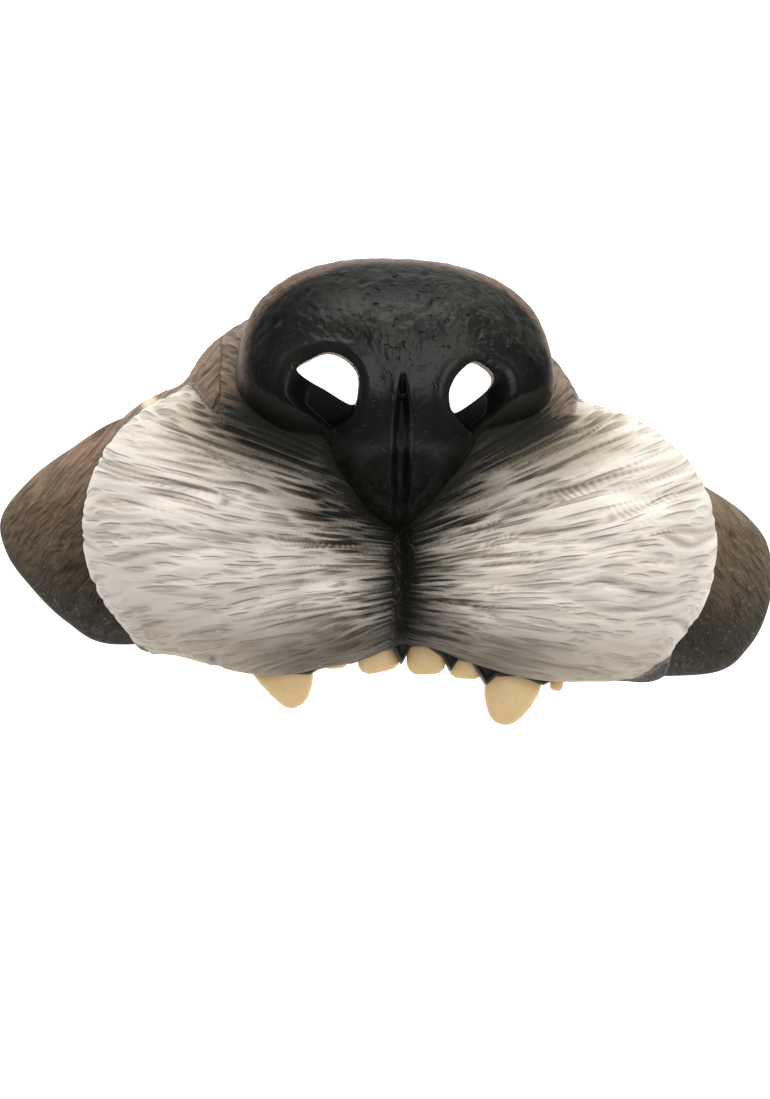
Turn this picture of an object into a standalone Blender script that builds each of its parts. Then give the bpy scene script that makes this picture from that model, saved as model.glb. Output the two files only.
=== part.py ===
"""Costume wolf nose: a hollow latex muzzle with a black nose, gum strip and teeth.

Frame: the muzzle lies on the flat rear edges of its two cheek flaps, z = 0.
+Z is the way the nose points, +Y the way its bridge lies, +X the viewer's right.
All lengths are metres. Table columns are per cent of the size named above them.
"""
from math import pi

import bpy
import numpy as np
from mathutils import Matrix

# Driving sizes
SIDE_REACH = 0.100        # middle line to the farther flap's edge
MUZZLE_HEIGHT = 0.100     # lower edge of the whisker pads to the top of the nose
MUZZLE_DEPTH = 0.090      # rear edges to the front of the nose
SKIN_WALL = 0.0026        # latex wall
REAR_EDGE = 0.0034        # width of the trimmed rear edge
CORNER_EDGE = 0.0024      # extra width of the edge at the corner of the mouth on the viewer's left
FIT_GAP = 0.00035         # clearance between seated pieces
NOSE_LAP = 0.20           # share of the nose's reach that laps over the skin
NOSE_EDGE = 0.0017        # thickness of the nose's lower border
NOSTRIL_DEPTH = 0.0062    # depth of the hollow round each nostril
FOLD_DEPTH = 0.0013       # depth of the main fur folds
GUM_THICK = 0.0104        # front to back
GUM_RISE = 0.0078         # height above the lip's edge
ROOT_LENGTH = 0.0050      # tooth length inside its socket
FANG_THICK = 0.0068
INCISOR_THICK = 0.0052

AROUND = 80               # stations round the muzzle

# Point inside the muzzle from which the skin is drawn: x, y, z
CORE = (0.0, -8.0, 11.0)

# Rounded masses of the skin.
# x and reach_x: % of SIDE_REACH; y, reach_y: % of MUZZLE_HEIGHT; z, reach_z: % of MUZZLE_DEPTH
# square: 2 is an ellipsoid, more is boxier; lean and turn in degrees; blend: % of SIDE_REACH
# name            x      y      z   reach_x reach_y reach_z square lean turn blend
SKIN_MASSES = (
    ("plate",      3.0, -11.0, -15.5, 101.0,  44.0,  43.0, 2.2,   0.0,  -3.0,  0.0),
    ("bridge",     0.0,  19.0,  26.0,  43.0,  35.0,  52.0, 2.2,   0.0,   0.0,  6.0),
    ("cheek_l",  -42.0,   5.0,  22.0,  27.0,  22.0,  30.0, 2.0,   0.0,   0.0,  5.0),
    ("cheek_r",   46.0,   3.0,  22.0,  27.0,  22.0,  30.0, 2.0,   0.0,   0.0,  5.0),
    ("flank_l",  -25.0,  19.0,  32.0,  24.6,  23.4,  40.0, 2.2,   0.0,   0.0,  4.0),
    ("flank_r",   22.5,  17.0,  32.0,  25.0,  22.4,  40.0, 2.2,   0.0,   0.0,  4.0),
    ("pad_l",    -34.5,  -8.5,  39.0,  38.0,  34.5,  31.0, 2.1,  14.0,  -7.0,  2.5),
    ("pad_r",     41.5,  -9.0,  39.0,  38.5,  34.5,  31.0, 2.1, -14.0,  -4.0,  2.5),
    ("lip_l",    -11.5, -17.5,  44.0,  19.5,  22.5,  29.0, 2.2,   8.0,  10.0,  3.0),
    ("lip_r",     17.0, -16.0,  44.0,  18.5,  22.0,  29.0, 2.2,  -8.0, -12.0,  3.0),
    ("root",       0.0,  29.0,  62.0,  31.0,  21.5,  25.0, 2.2,   0.0,   0.0,  5.0),
)

# Masses of the nose over it, same columns
NOSE_MASSES = (
    ("bulb",      -0.5,  30.0,  64.0,  37.6,  25.6,  31.5, 2.3,   0.0,   0.0,  0.0),
    ("ala_l",    -21.0,  24.5,  72.0,  16.5,  13.5,  17.5, 2.2,   0.0,   0.0,  3.0),
    ("ala_r",     21.5,  26.0,  72.0,  16.5,  13.5,  17.5, 2.2,   0.0,   0.0,  3.0),
    ("septum",     1.0,  12.0,  68.0,  12.5,  20.0,  17.0, 2.2,   0.0,   0.0,  3.0),
)

# Rear and lip edge, round CORE: degrees, % of SIDE_REACH, % of MUZZLE_DEPTH
EDGE = (
    # turn  reach height
    (-32.0,  64.0,  34.0),
    (-27.0,  73.0,  12.0),
    (-23.5,  83.5,   0.0),
    (-20.0,  93.0,   0.0),
    (-15.0,  98.2,   0.0),
    (-9.0,  100.6,   0.0),
    (-3.0,  100.2,   0.0),
    (1.5,    97.8,   0.0),
    (5.5,    92.3,   0.0),
    (9.5,    84.8,   0.0),
    (15.0,   74.8,   3.5),
    (24.0,   66.5,   8.0),
    (36.0,   58.0,  12.0),
    (50.0,   57.5,  14.0),
    (68.0,   60.5,  16.0),
    (90.0,   60.5,  17.0),
    (112.0,  60.5,  16.0),
    (130.0,  57.5,  14.0),
    (145.0,  58.5,  10.0),
    (154.0,  65.5,   4.0),
    (160.0,  72.6,   0.0),
    (166.0,  78.8,   0.0),
    (173.0,  87.5,   0.0),
    (180.6,  94.2,   0.0),
    (185.0,  92.7,   0.0),
    (191.0,  87.4,   0.0),
    (198.0,  80.6,   0.0),
    (204.0,  73.4,   0.0),
    (208.5,  61.5,   7.0),
    (214.0,  54.0,  25.0),
    (222.0,  50.2,  37.5),
    (232.0,  44.5,  40.0),
    (246.0,  36.2,  44.0),
    (262.0,  30.5,  48.0),
    (281.0,  26.8,  50.0),
    (297.0,  31.2,  48.0),
    (309.0,  40.5,  44.0),
    (319.0,  52.0,  40.5),
)

# Border of the nose, round NOSE_MIDDLE: degrees, % of SIDE_REACH, % of MUZZLE_DEPTH
NOSE_MIDDLE = (0.0, 20.0)
BORDER = (
    # turn  reach height
    (2.4,    33.8,  69.0),
    (9.0,    36.2,  68.0),
    (16.5,   37.6,  66.0),
    (33.0,   38.6,  61.0),
    (52.0,   37.4,  56.0),
    (70.0,   36.0,  53.0),
    (90.0,   35.2,  52.0),
    (112.0,  36.2,  53.0),
    (131.0,  38.0,  56.0),
    (149.0,  39.0,  61.0),
    (165.8,  37.3,  66.0),
    (178.4,  34.3,  69.0),
    (184.3,  31.2,  71.0),
    (191.0,  27.0,  72.0),
    (197.0,  22.8,  73.0),
    (204.0,  18.4,  74.0),
    (213.0,  17.4,  74.0),
    (228.0,  18.8,  74.0),
    (245.3,  20.9,  74.0),
    (262.0,  24.6,  73.0),
    (275.5,  27.0,  72.0),
    (288.0,  24.0,  73.0),
    (305.1,  20.6,  74.0),
    (323.0,  19.6,  74.0),
    (337.0,  18.8,  74.0),
    (345.0,  20.4,  73.0),
    (354.0,  26.6,  71.0),
)

# Fur folds: ends and bow of each line seen from the front, and its share of depth
# lengths in % of SIDE_REACH (x, bow) and MUZZLE_HEIGHT (y)
FOLDS = (
    # from_x from_y  to_x   to_y   bow  depth
    (-12.0,   4.0, -58.0,   9.0,   3.5,  0.9),
    (-8.0,   -4.0, -64.0,  -5.0,   5.0,  1.0),
    (-4.0,  -12.0, -60.0, -20.0,   5.0,  1.0),
    (-3.0,  -20.0, -48.0, -32.0,   4.0,  0.8),
    (17.0,    4.0,  62.0,  12.0,   3.5,  0.9),
    (13.0,   -4.0,  71.0,   0.0,   5.0,  1.0),
    (9.0,   -12.0,  70.0, -14.0,   5.0,  1.0),
    (8.0,   -20.0,  58.0, -28.0,   4.0,  0.8),
)
FOLD_WIDTH = 0.0042

# Groove between the whisker pads: from_y, to_y, x at both, depth and width
PHILTRUM = (-7.0, -36.0, 2.0, 4.6)
PHILTRUM_DEPTH = 0.0042
PHILTRUM_WIDTH = 0.0042

# Seen from the front, outline of each through opening, % of SIDE_REACH and MUZZLE_HEIGHT
OPENING_LEFT = (
    (-23.4, 27.6), (-20.2, 30.4), (-16.4, 31.8), (-12.6, 30.6),
    (-9.8, 27.6), (-9.4, 23.6), (-10.6, 20.4), (-16.8, 23.6),
)
OPENING_RIGHT = (
    (16.6, 31.0), (20.4, 29.0), (21.0, 26.4), (18.2, 23.2),
    (12.4, 19.4), (10.9, 23.0), (11.8, 26.6), (14.0, 29.4),
)

# Outline of the hollow round each opening, same columns
HOLLOW_LEFT = (
    (-24.3, 28.2), (-21.6, 30.8), (-17.1, 32.1), (-13.1, 31.5), (-9.8, 28.2), (-8.9, 24.5),
    (-9.0, 20.6), (-10.9, 16.8), (-15.4, 14.4), (-19.3, 16.1), (-24.9, 20.8), (-25.6, 24.5),
)
HOLLOW_RIGHT = (
    (16.8, 31.5), (21.2, 29.7), (23.8, 28.3), (24.8, 24.4), (24.1, 20.4), (21.0, 17.7),
    (17.6, 14.6), (13.3, 17.1), (11.1, 20.7), (10.6, 24.7), (12.9, 29.1),
)
HOLLOW_SIDE = 0.0032      # width of the sloping side of each hollow
GROOVE_DEPTH = 0.0030     # middle groove of the nose
GROOVE_WIDTH = 0.0030

# Teeth: root middle and tip seen from the front, widths in % of SIDE_REACH
# name              root_x  root_y  tip_x  tip_y  width  bow  kind
TEETH = (
    ("fang_left",         -24.6, -40.0, -19.2, -50.6, 13.2,  0.9, "fang"),
    ("incisor_left_side", -10.9, -37.0, -10.5, -41.0,  6.0,  0.0, "incisor"),
    ("incisor_left_mid",   -1.4, -34.6,   0.4, -41.3, 10.2,  0.0, "incisor"),
    ("incisor_right_mid",  10.6, -33.4,  11.2, -41.6,  9.4,  0.0, "incisor"),
    ("incisor_right_side", 20.9, -37.0,  20.7, -42.4,  8.0,  0.0, "incisor"),
    ("fang_right",         33.2, -40.5,  29.9, -53.2, 13.6,  0.0, "fang"),
    ("cheek_tooth_right",  43.6, -41.0,  43.2, -44.8,  3.2,  0.0, "incisor"),
)
FANG_TAPER = ((0.0, 1.0), (0.3, 0.99), (0.55, 0.86), (0.75, 0.68), (0.9, 0.48), (0.98, 0.26))
INCISOR_TAPER = ((0.0, 0.90), (0.35, 0.98), (0.65, 1.0), (0.85, 0.90), (0.96, 0.66))

# Gum strip: x along the lip and how far its scalloped edge hangs below the lip, %
GUM = (
    # x     hang
    (-31.0,  0.4),
    (-28.0,  0.6),
    (-22.0,  0.8),
    (-16.6,  2.0),
    (-14.0,  0.8),
    (-10.8,  0.7),
    (-6.8,   1.4),
    (-1.4,   0.8),
    (2.8,    1.6),
    (4.8,    5.8),
    (7.0,    1.6),
    (10.6,   0.9),
    (14.8,   2.2),
    (16.8,   4.9),
    (18.6,   1.4),
    (22.0,   0.9),
    (25.6,   5.2),
    (28.0,   2.4),
    (33.6,   0.9),
    (39.6,   2.2),
    (42.8,   0.6),
    (46.4,   0.4),
)

# Colours as painted
LATEX = (0.70, 0.61, 0.50, 1.0)
BLACK = (0.012, 0.014, 0.014, 1.0)
TOOTH = (0.66, 0.50, 0.28, 1.0)


def size(x, y, z):
    """Per cent values to metres."""
    return np.array([x * SIDE_REACH, y * MUZZLE_HEIGHT, z * MUZZLE_DEPTH]) / 100.0


CENTRE = size(*CORE)


def unit(v):
    return v / np.linalg.norm(v, axis=-1, keepdims=True)


def ease(t):
    t = np.clip(t, 0.0, 1.0)
    return t * t * (3.0 - 2.0 * t)


def mass(p, row):
    """Distance from points p to one rounded mass, negative inside."""
    _, x, y, z, rx, ry, rz, square, lean, turn, _ = row
    q = p - size(x, y, z)
    a, b = np.radians(turn), np.radians(lean)
    q = np.stack([q[..., 0] * np.cos(a) + q[..., 1] * np.sin(a),
                  q[..., 1] * np.cos(a) - q[..., 0] * np.sin(a), q[..., 2]], axis=-1)
    q = np.stack([q[..., 0] * np.cos(b) - q[..., 2] * np.sin(b), q[..., 1],
                  q[..., 2] * np.cos(b) + q[..., 0] * np.sin(b)], axis=-1)
    reach = size(rx, ry, rz)
    s = np.abs(q) / reach + 1e-9
    k = (s ** square).sum(axis=-1) ** (1.0 / square)
    slope = (s / k[..., None]) ** (square - 1.0) / reach
    return (k - 1.0) / np.linalg.norm(slope, axis=-1)


def union(p, rows):
    """Smoothly blended union of the masses in a table."""
    d = mass(p, rows[0])
    for row in rows[1:]:
        e = mass(p, row)
        k = max(row[-1] * SIDE_REACH / 100.0, 1e-5)
        h = np.clip(0.5 + 0.5 * (e - d) / k, 0.0, 1.0)
        d = e * (1.0 - h) + d * h - k * h * (1.0 - h)
    return d


def skin_field(p):
    return union(p, SKIN_MASSES)


def nose_field(p):
    return union(p, NOSE_MASSES)


def reach_out(directions, field, level=0.0):
    """Distance from CENTRE to the outermost crossing of a level along each direction."""
    far = 1.7 * max(SIDE_REACH, MUZZLE_HEIGHT, MUZZLE_DEPTH)
    steps = np.linspace(far, 0.002, 110)
    flat = directions.reshape(-1, 3)
    outer = np.full(len(flat), steps[-2])
    inner = np.full(len(flat), steps[-1])
    found = np.zeros(len(flat), bool)
    for a, b in zip(steps[:-1], steps[1:]):
        hit = ~found & (field(CENTRE + flat * b) < level)
        outer[hit], inner[hit] = a, b
        found |= hit
    for _ in range(16):
        middle = 0.5 * (outer + inner)
        inside = field(CENTRE + flat * middle[:, None]) < level
        inner = np.where(inside, middle, inner)
        outer = np.where(inside, outer, middle)
    return (0.5 * (outer + inner)).reshape(directions.shape[:-1])


def round_table(rows, turns):
    """Read a closed table of turn, reach and height at the given turns."""
    table = np.array(rows, float)
    order = np.argsort(table[:, 0] % 360.0)
    table = table[order]
    angle = table[:, 0] % 360.0
    out = []
    for column in (1, 2):
        a = np.concatenate([angle[-2:] - 360.0, angle, angle[:2] + 360.0])
        v = np.concatenate([table[-2:, column], table[:, column], table[:2, column]])
        slope = np.gradient(v, a)
        i = np.clip(np.searchsorted(a, turns % 360.0, side="right") - 1, 1, len(a) - 3)
        h = a[i + 1] - a[i]
        t = (turns % 360.0 - a[i]) / h
        value = ((1 + 2 * t) * (1 - t) ** 2 * v[i] + t * (1 - t) ** 2 * h * slope[i]
                 + t * t * (3 - 2 * t) * v[i + 1] + t * t * (t - 1) * h * slope[i + 1])
        out.append(value)
    return out[0], np.maximum(out[1], 0.0)


def edge_points(turns, inward):
    """Points along the trimmed edge of the skin, moved inward by a length."""
    reach, height = round_table(EDGE, turns)
    a = np.radians(turns)
    inward = inward * (1.0 + CORNER_EDGE / REAR_EDGE * np.exp(-((turns - 211.0) / 8.0) ** 2))
    x = CENTRE[0] + (reach * SIDE_REACH / 100.0 - inward) * np.cos(a)
    y = CENTRE[1] + (reach * MUZZLE_HEIGHT / 100.0 - inward) * np.sin(a)
    return np.stack([x, y, height * MUZZLE_DEPTH / 100.0], axis=-1)


def border_directions(turns, share):
    """Directions from CENTRE to the nose's border, or to a share of its reach."""
    reach, height = round_table(BORDER, turns)
    a = np.radians(turns)
    x = (NOSE_MIDDLE[0] + share * reach * np.cos(a)) * SIDE_REACH / 100.0
    y = (NOSE_MIDDLE[1] + share * reach * np.sin(a)) * MUZZLE_HEIGHT / 100.0
    z = (height + (1.0 - share) * 16.0) * MUZZLE_DEPTH / 100.0
    return unit(np.stack([x, y, z], axis=-1) - CENTRE)


def between(a, b, t):
    """Directions turned from a to b by the share t."""
    angle = np.arccos(np.clip((a * b).sum(axis=-1, keepdims=True), -1.0, 1.0))
    return unit((a * np.sin((1.0 - t) * angle) + b * np.sin(t * angle)) / np.sin(angle))


def fold_cut(p):
    """Depth taken from the skin by the fur folds and the groove between the pads."""
    x, y = p[..., 0] / SIDE_REACH * 100.0, p[..., 1] / MUZZLE_HEIGHT * 100.0
    width = FOLD_WIDTH / SIDE_REACH * 100.0
    cut = np.zeros(x.shape)
    for x0, y0, x1, y1, bow, depth in FOLDS:
        t = np.clip((x - x0) / (x1 - x0), -0.2, 1.2)
        line = y0 + (y1 - y0) * t + bow * 4.0 * t * (1.0 - t)
        fade = ease((t + 0.05) / 0.15) * ease((1.05 - t) / 0.35)
        cut = np.maximum(cut, FOLD_DEPTH * depth * fade * np.exp(-((y - line) / width * 2.0) ** 2))
    y0, y1, x0, x1 = PHILTRUM
    t = (y - y0) / (y1 - y0)
    middle = x0 + (x1 - x0) * np.clip(t, 0.0, 1.0)
    fade = ease((t + 0.15) / 0.2) * ease((1.35 - t) / 0.3)
    wide = PHILTRUM_WIDTH / SIDE_REACH * 100.0
    groove = PHILTRUM_DEPTH * fade * np.exp(-((x - middle) / wide * 2.0) ** 2)
    return np.maximum(cut, groove)


def skin_point(directions, level, cut):
    r = reach_out(directions, skin_field, level)
    if cut:
        r = r - fold_cut(CENTRE + directions * r[..., None])
    return r


def ring_faces(loop_a, loop_b):
    """Faces between two closed loops; loop_b may have half as many points."""
    n, m = len(loop_a), len(loop_b)
    faces = []
    if n == m:
        for i in range(n):
            j = (i + 1) % n
            faces.append((loop_a[i], loop_a[j], loop_b[j], loop_b[i]))
        return faces
    for i in range(m):
        a0, a1, a2 = loop_a[2 * i], loop_a[2 * i + 1], loop_a[(2 * i + 2) % n]
        b0, b1 = loop_b[i], loop_b[(i + 1) % m]
        faces += [(a0, a1, b0), (a1, a2, b1), (a1, b1, b0)]
    return faces


def closed_object(name, loops, caps, colour, roughness):
    """Solid from a chain of loops; caps are single points closing its ends."""
    verts, rings = [], []
    for loop in loops:
        rings.append(list(range(len(verts), len(verts) + len(loop))))
        verts.extend(map(tuple, loop))
    faces = []
    pairs = list(zip(rings[:-1], rings[1:]))
    if caps is None:
        pairs.append((rings[-1], rings[0]))
    for a, b in pairs:
        if len(a) >= len(b):
            faces += ring_faces(a, b)
        else:
            faces += [tuple(reversed(f)) for f in ring_faces(b, a)]
    if caps is not None:
        for ring, point, first in ((rings[0], caps[0], True), (rings[-1], caps[1], False)):
            verts.append(tuple(point))
            k = len(verts) - 1
            for i in range(len(ring)):
                j = (i + 1) % len(ring)
                faces.append((ring[j], ring[i], k) if first else (ring[i], ring[j], k))
    points = np.array(verts, float)
    volume = sum(np.dot(points[f[0]], np.cross(points[f[k]], points[f[k + 1]]))
                 for f in faces for k in range(1, len(f) - 1))
    if volume < 0.0:
        faces = [tuple(reversed(f)) for f in faces]
    return mesh_object(name, verts, faces, colour, roughness)


def mesh_object(name, verts, faces, colour, roughness):
    mesh = bpy.data.meshes.new(name)
    mesh.from_pydata(verts, [], faces)
    mesh.validate()
    mesh.update()
    obj = bpy.data.objects.new(name, mesh)
    bpy.context.collection.objects.link(obj)
    if colour is not None:
        material = bpy.data.materials.new(name)
        material.use_nodes = True
        shader = material.node_tree.nodes["Principled BSDF"]
        shader.inputs["Base Color"].default_value = colour
        shader.inputs["Roughness"].default_value = roughness
        shader.inputs["Metallic"].default_value = 0.0
        mesh.materials.append(material)
    mesh.shade_smooth()
    mesh.set_sharp_from_angle(angle=0.8)
    return obj


def cut_by(obj, cutter):
    """Boolean difference, with the cutter left as a hidden guide."""
    cutter.hide_render = True
    cutter.display_type = "WIRE"
    change = obj.modifiers.new(cutter.name, "BOOLEAN")
    change.operation = "DIFFERENCE"
    change.solver = "EXACT"
    change.object = cutter


def make_skin():
    """Muzzle skin: hollow, open behind, with a window behind the nose."""
    turns = np.arange(AROUND) * 360.0 / AROUND
    window = border_directions(turns, 1.0 - NOSE_LAP)
    border = border_directions(turns, 1.0)
    rim = edge_points(turns, 0.0)
    rim_way = unit(rim - CENTRE)
    rim_far = np.linalg.norm(rim - CENTRE, axis=-1)
    rim_miss = rim_far - skin_point(rim_way, 0.0, True)

    outer = []
    for t in (0.0, 0.34, 0.67):
        way = between(window, border, t)
        outer.append(CENTRE + way * skin_point(way, 0.0, False)[:, None])
    steps = np.linspace(0.0, 1.0, 27)
    for t in steps:
        way = between(border, rim_way, t) if t < 1.0 else rim_way
        r = skin_point(way, 0.0, t > 0.02) + ease((t - 0.72) / 0.28) * rim_miss
        outer.append(CENTRE + way * r[:, None])

    half = turns[::2]
    window_in = border_directions(half, 1.0 - NOSE_LAP)
    rim_in = edge_points(half, REAR_EDGE)
    way_in = unit(rim_in - CENTRE)
    miss_in = np.linalg.norm(rim_in - CENTRE, axis=-1) - skin_point(way_in, -SKIN_WALL, True)
    inner = []
    for t in np.linspace(0.0, 1.0, 15):
        way = between(window_in, way_in, t) if t < 1.0 else way_in
        r = skin_point(way, -SKIN_WALL, t > 0.1) + ease((t - 0.72) / 0.28) * miss_in
        inner.append(CENTRE + way * r[:, None])
    return closed_object("muzzle_skin", outer + inner[::-1], None, LATEX, 0.6)


def inside(x, y, outline):
    """Distance of each point inside a closed outline, negative outside."""
    near = np.full(x.shape, 1e9)
    turns = np.zeros(x.shape)
    points = np.array(outline, float)
    for (ax, ay), (bx, by) in zip(points, np.roll(points, -1, axis=0)):
        dx, dy = bx - ax, by - ay
        t = np.clip(((x - ax) * dx + (y - ay) * dy) / (dx * dx + dy * dy), 0.0, 1.0)
        near = np.minimum(near, np.hypot(x - ax - t * dx, y - ay - t * dy))
        turns = turns + np.arctan2((ax - x) * (by - y) - (ay - y) * (bx - x),
                                   (ax - x) * (bx - x) + (ay - y) * (by - y))
    return np.where(np.abs(turns) > pi, near, -near)


def nostril_cut(p):
    """Depth taken from the nose by the nostril hollows and the middle groove."""
    x, y = p[..., 0] / SIDE_REACH * 100.0, p[..., 1] / MUZZLE_HEIGHT * 100.0
    cut = np.zeros(x.shape)
    side = HOLLOW_SIDE / SIDE_REACH * 100.0
    for outline in (HOLLOW_LEFT, HOLLOW_RIGHT):
        cut = np.maximum(cut, NOSTRIL_DEPTH * ease(inside(x, y, outline) / side))
    wide = GROOVE_WIDTH / SIDE_REACH * 100.0
    fade = ease((31.0 - y) / 6.0) * ease((y + 9.0) / 4.0)
    return np.maximum(cut, GROOVE_DEPTH * fade * np.exp(-((x - 0.6) / wide * 2.0) ** 2))


def nose_reach(way, t):
    """Outer surface of the nose along directions; t is the share of the way to its border."""
    seat = reach_out(way, skin_field, FIT_GAP)
    bulk = reach_out(way, nose_field, 0.0)
    bulk = np.maximum(bulk - nostril_cut(CENTRE + way * bulk[..., None]), seat + NOSE_EDGE)
    edge = seat + NOSE_EDGE
    s = np.clip((t - 0.78) / 0.22, 0.0, 1.0)
    return edge + (bulk - edge) * np.sqrt(1.0 - s * s)


def make_nose():
    """Nose: a hollow cap seated over the window in the skin."""
    turns = np.arange(AROUND) * 360.0 / AROUND
    border = border_directions(turns, 1.0)
    window = border_directions(turns, 1.0 - NOSE_LAP)
    front = unit(size(NOSE_MIDDLE[0], NOSE_MIDDLE[1] + 2.0, 92.0) - CENTRE)[None, :]
    outer = []
    for t in (0.10, 0.20, 0.30, 0.40, 0.50, 0.60, 0.70, 0.78, 0.85, 0.91, 0.955, 0.985, 1.0):
        way = between(front + 0.0 * border, border, t)
        outer.append(CENTRE + way * nose_reach(way, t)[:, None])
    thin = [outer[0][::2]] + outer[1:]
    inner = []
    for t in (1.0, 0.67, 0.34, 0.0):
        way = between(window, border, t)
        inner.append(CENTRE + way * reach_out(way, skin_field, FIT_GAP)[:, None])
    for t in (0.78, 0.52, 0.26):
        way = between(front + 0.0 * window[::2], window[::2], t)
        inner.append(CENTRE + way * reach_out(way, skin_field, FIT_GAP)[:, None])
    tip = CENTRE + front[0] * nose_reach(front, 0.0)[0]
    back = CENTRE + front[0] * reach_out(front, skin_field, FIT_GAP)[0]
    nose = closed_object("nose_pad", thin + inner, (tip, back), BLACK, 0.35)
    for name, outline in (("nostril_left", OPENING_LEFT), ("nostril_right", OPENING_RIGHT)):
        cut_by(nose, prism(name, outline, 55.0, 112.0))
    return nose


def prism(name, outline, low, high):
    """Straight cutter with a smooth outline seen from the front."""
    points = np.array(outline, float)
    n = len(points)
    round_out = []
    for i in range(n):
        a, b, c, d = points[i - 1], points[i], points[(i + 1) % n], points[(i + 2) % n]
        for t in (0.0, 0.5):
            round_out.append(0.5 * ((2 * b) + (c - a) * t + (2 * a - 5 * b + 4 * c - d) * t * t
                                    + (3 * b - 3 * c + d - a) * t ** 3))
    area = sum(p[0] * q[1] - q[0] * p[1] for p, q in zip(round_out, round_out[1:] + round_out[:1]))
    if area < 0.0:
        round_out.reverse()
    loops = [[size(x, y, z) for x, y in round_out] for z in (low, high)]
    middle = points.mean(axis=0)
    caps = (size(middle[0], middle[1], low), size(middle[0], middle[1], high))
    return closed_object(name, loops, caps, None, 0.0)


def lip_edge(x):
    """Height across and depth of the lip's edge at x, along its straight facets."""
    found = []
    for count, inward in ((AROUND, 0.0), (AROUND // 2, REAR_EDGE)):
        turns = np.arange(count) * 360.0 / count
        p = edge_points(turns[(turns > 205.0) & (turns < 335.0)], inward)
        order = np.argsort(p[:, 0])
        found.append([np.interp(x, p[order, 0], p[order, k]) for k in (1, 2)])
    return found[0][0], min(found[0][1], found[1][1])


def seat_height(x, half):
    """Lowest height of the lip's edge from x - half to x + half."""
    return min(lip_edge(x + step * half)[1] for step in (-1.0, -0.5, 0.0, 0.5, 1.0))


def tooth_solid(name, row, grow, colour):
    """Tooth, or with grow its socket: rings along a bowed line from root to tip."""
    _, root_x, root_y, tip_x, tip_y, width, bow, kind = row
    thick = FANG_THICK if kind == "fang" else INCISOR_THICK
    taper = FANG_TAPER if kind == "fang" else INCISOR_TAPER
    start, end = size(root_x, root_y, 0.0)[:2], size(tip_x, tip_y, 0.0)[:2]
    z = seat_height(start[0], 0.5 * width * SIDE_REACH / 100.0) - FIT_GAP - 0.5 * GUM_THICK
    line = end - start
    length = np.linalg.norm(line)
    line = line / length
    side = np.array([-line[1], line[0]])
    half_w = 0.5 * width * SIDE_REACH / 100.0
    top = start - line * (ROOT_LENGTH + grow)
    rings = []
    stations = [(-1.0, taper[0][1] * 0.86)] + list(taper)
    count = 12
    for t, wide in stations:
        centre = top if t < 0.0 else start + line * length * t
        centre = centre + side * bow * SIDE_REACH / 100.0 * np.sin(pi * max(t, 0.0))
        depth = wide if kind == "fang" else wide * (1.0 - 0.45 * max(t, 0.0))
        ring = []
        for k in range(count):
            a = 2.0 * pi * k / count
            u = np.sign(np.cos(a)) * abs(np.cos(a)) ** 0.85 * (half_w * wide + grow)
            v = np.sign(np.sin(a)) * abs(np.sin(a)) ** 0.85 * (0.5 * thick * depth + grow)
            ring.append((centre[0] + side[0] * u, centre[1] + side[1] * u, z - v))
        rings.append(ring)
    tip = end + line * grow
    caps = ((top[0], top[1], z), (tip[0], tip[1], z))
    return closed_object(name, rings, caps, colour, 0.35)


def make_gum():
    """Black strip behind the lip's edge, with a socket for each tooth."""
    table = np.array(GUM, float)
    xs = []
    for a, b in zip(table[:-1, 0], table[1:, 0]):
        xs += [a, 0.5 * (a + b)]
    xs.append(table[-1, 0])
    loops = []
    for i, x in enumerate(xs):
        hang = np.interp(x, table[:, 0], table[:, 1]) * MUZZLE_HEIGHT / 100.0
        here = x * SIDE_REACH / 100.0
        y, _ = lip_edge(here)
        z = seat_height(here, 0.6 * SKIN_WALL)
        end = 0.72 if i in (0, len(xs) - 1) else 1.0
        front, back = z - FIT_GAP, z - FIT_GAP - GUM_THICK
        middle_y, middle_z = y + 0.5 * (GUM_RISE - hang), 0.5 * (front + back)
        half_y, half_z = 0.5 * (GUM_RISE + hang) * end, 0.5 * GUM_THICK * end
        loop = []
        for u, v in ((1, 0.7), (0.82, 1), (-0.8, 1), (-1, 0.75), (-1, -0.5), (-0.7, -1), (0.82, -1), (1, -0.7)):
            loop.append((here, middle_y + half_y * u, middle_z + half_z * v))
        loops.append(loop)
    caps = [tuple(np.mean(np.array(loops[k]), axis=0)) for k in (0, -1)]
    gum = closed_object("gum_strip", loops, caps, BLACK, 0.4)
    for row in TEETH:
        cut_by(gum, tooth_solid("socket_" + row[0], row, FIT_GAP, None))
    return gum


def centre_origin():
    """Put the origin under the middle of the object's box."""
    pieces = [obj for obj in bpy.data.objects if obj.display_type != "WIRE"]
    points = np.array([v.co for obj in pieces for v in obj.data.vertices])
    middle = 0.5 * (points.min(axis=0) + points.max(axis=0))
    for obj in bpy.data.objects:
        obj.data.transform(Matrix.Translation((-middle[0], -middle[1], 0.0)))


def main():
    for obj in list(bpy.data.objects):
        bpy.data.objects.remove(obj, do_unlink=True)
    make_skin()
    make_nose()
    make_gum()
    for row in TEETH:
        tooth_solid(row[0], row, 0.0, TOOTH)
    centre_origin()


main()
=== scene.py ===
from math import cos, pi, radians, sin

import bpy
import numpy as np
from mathutils import Matrix, Vector


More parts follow.
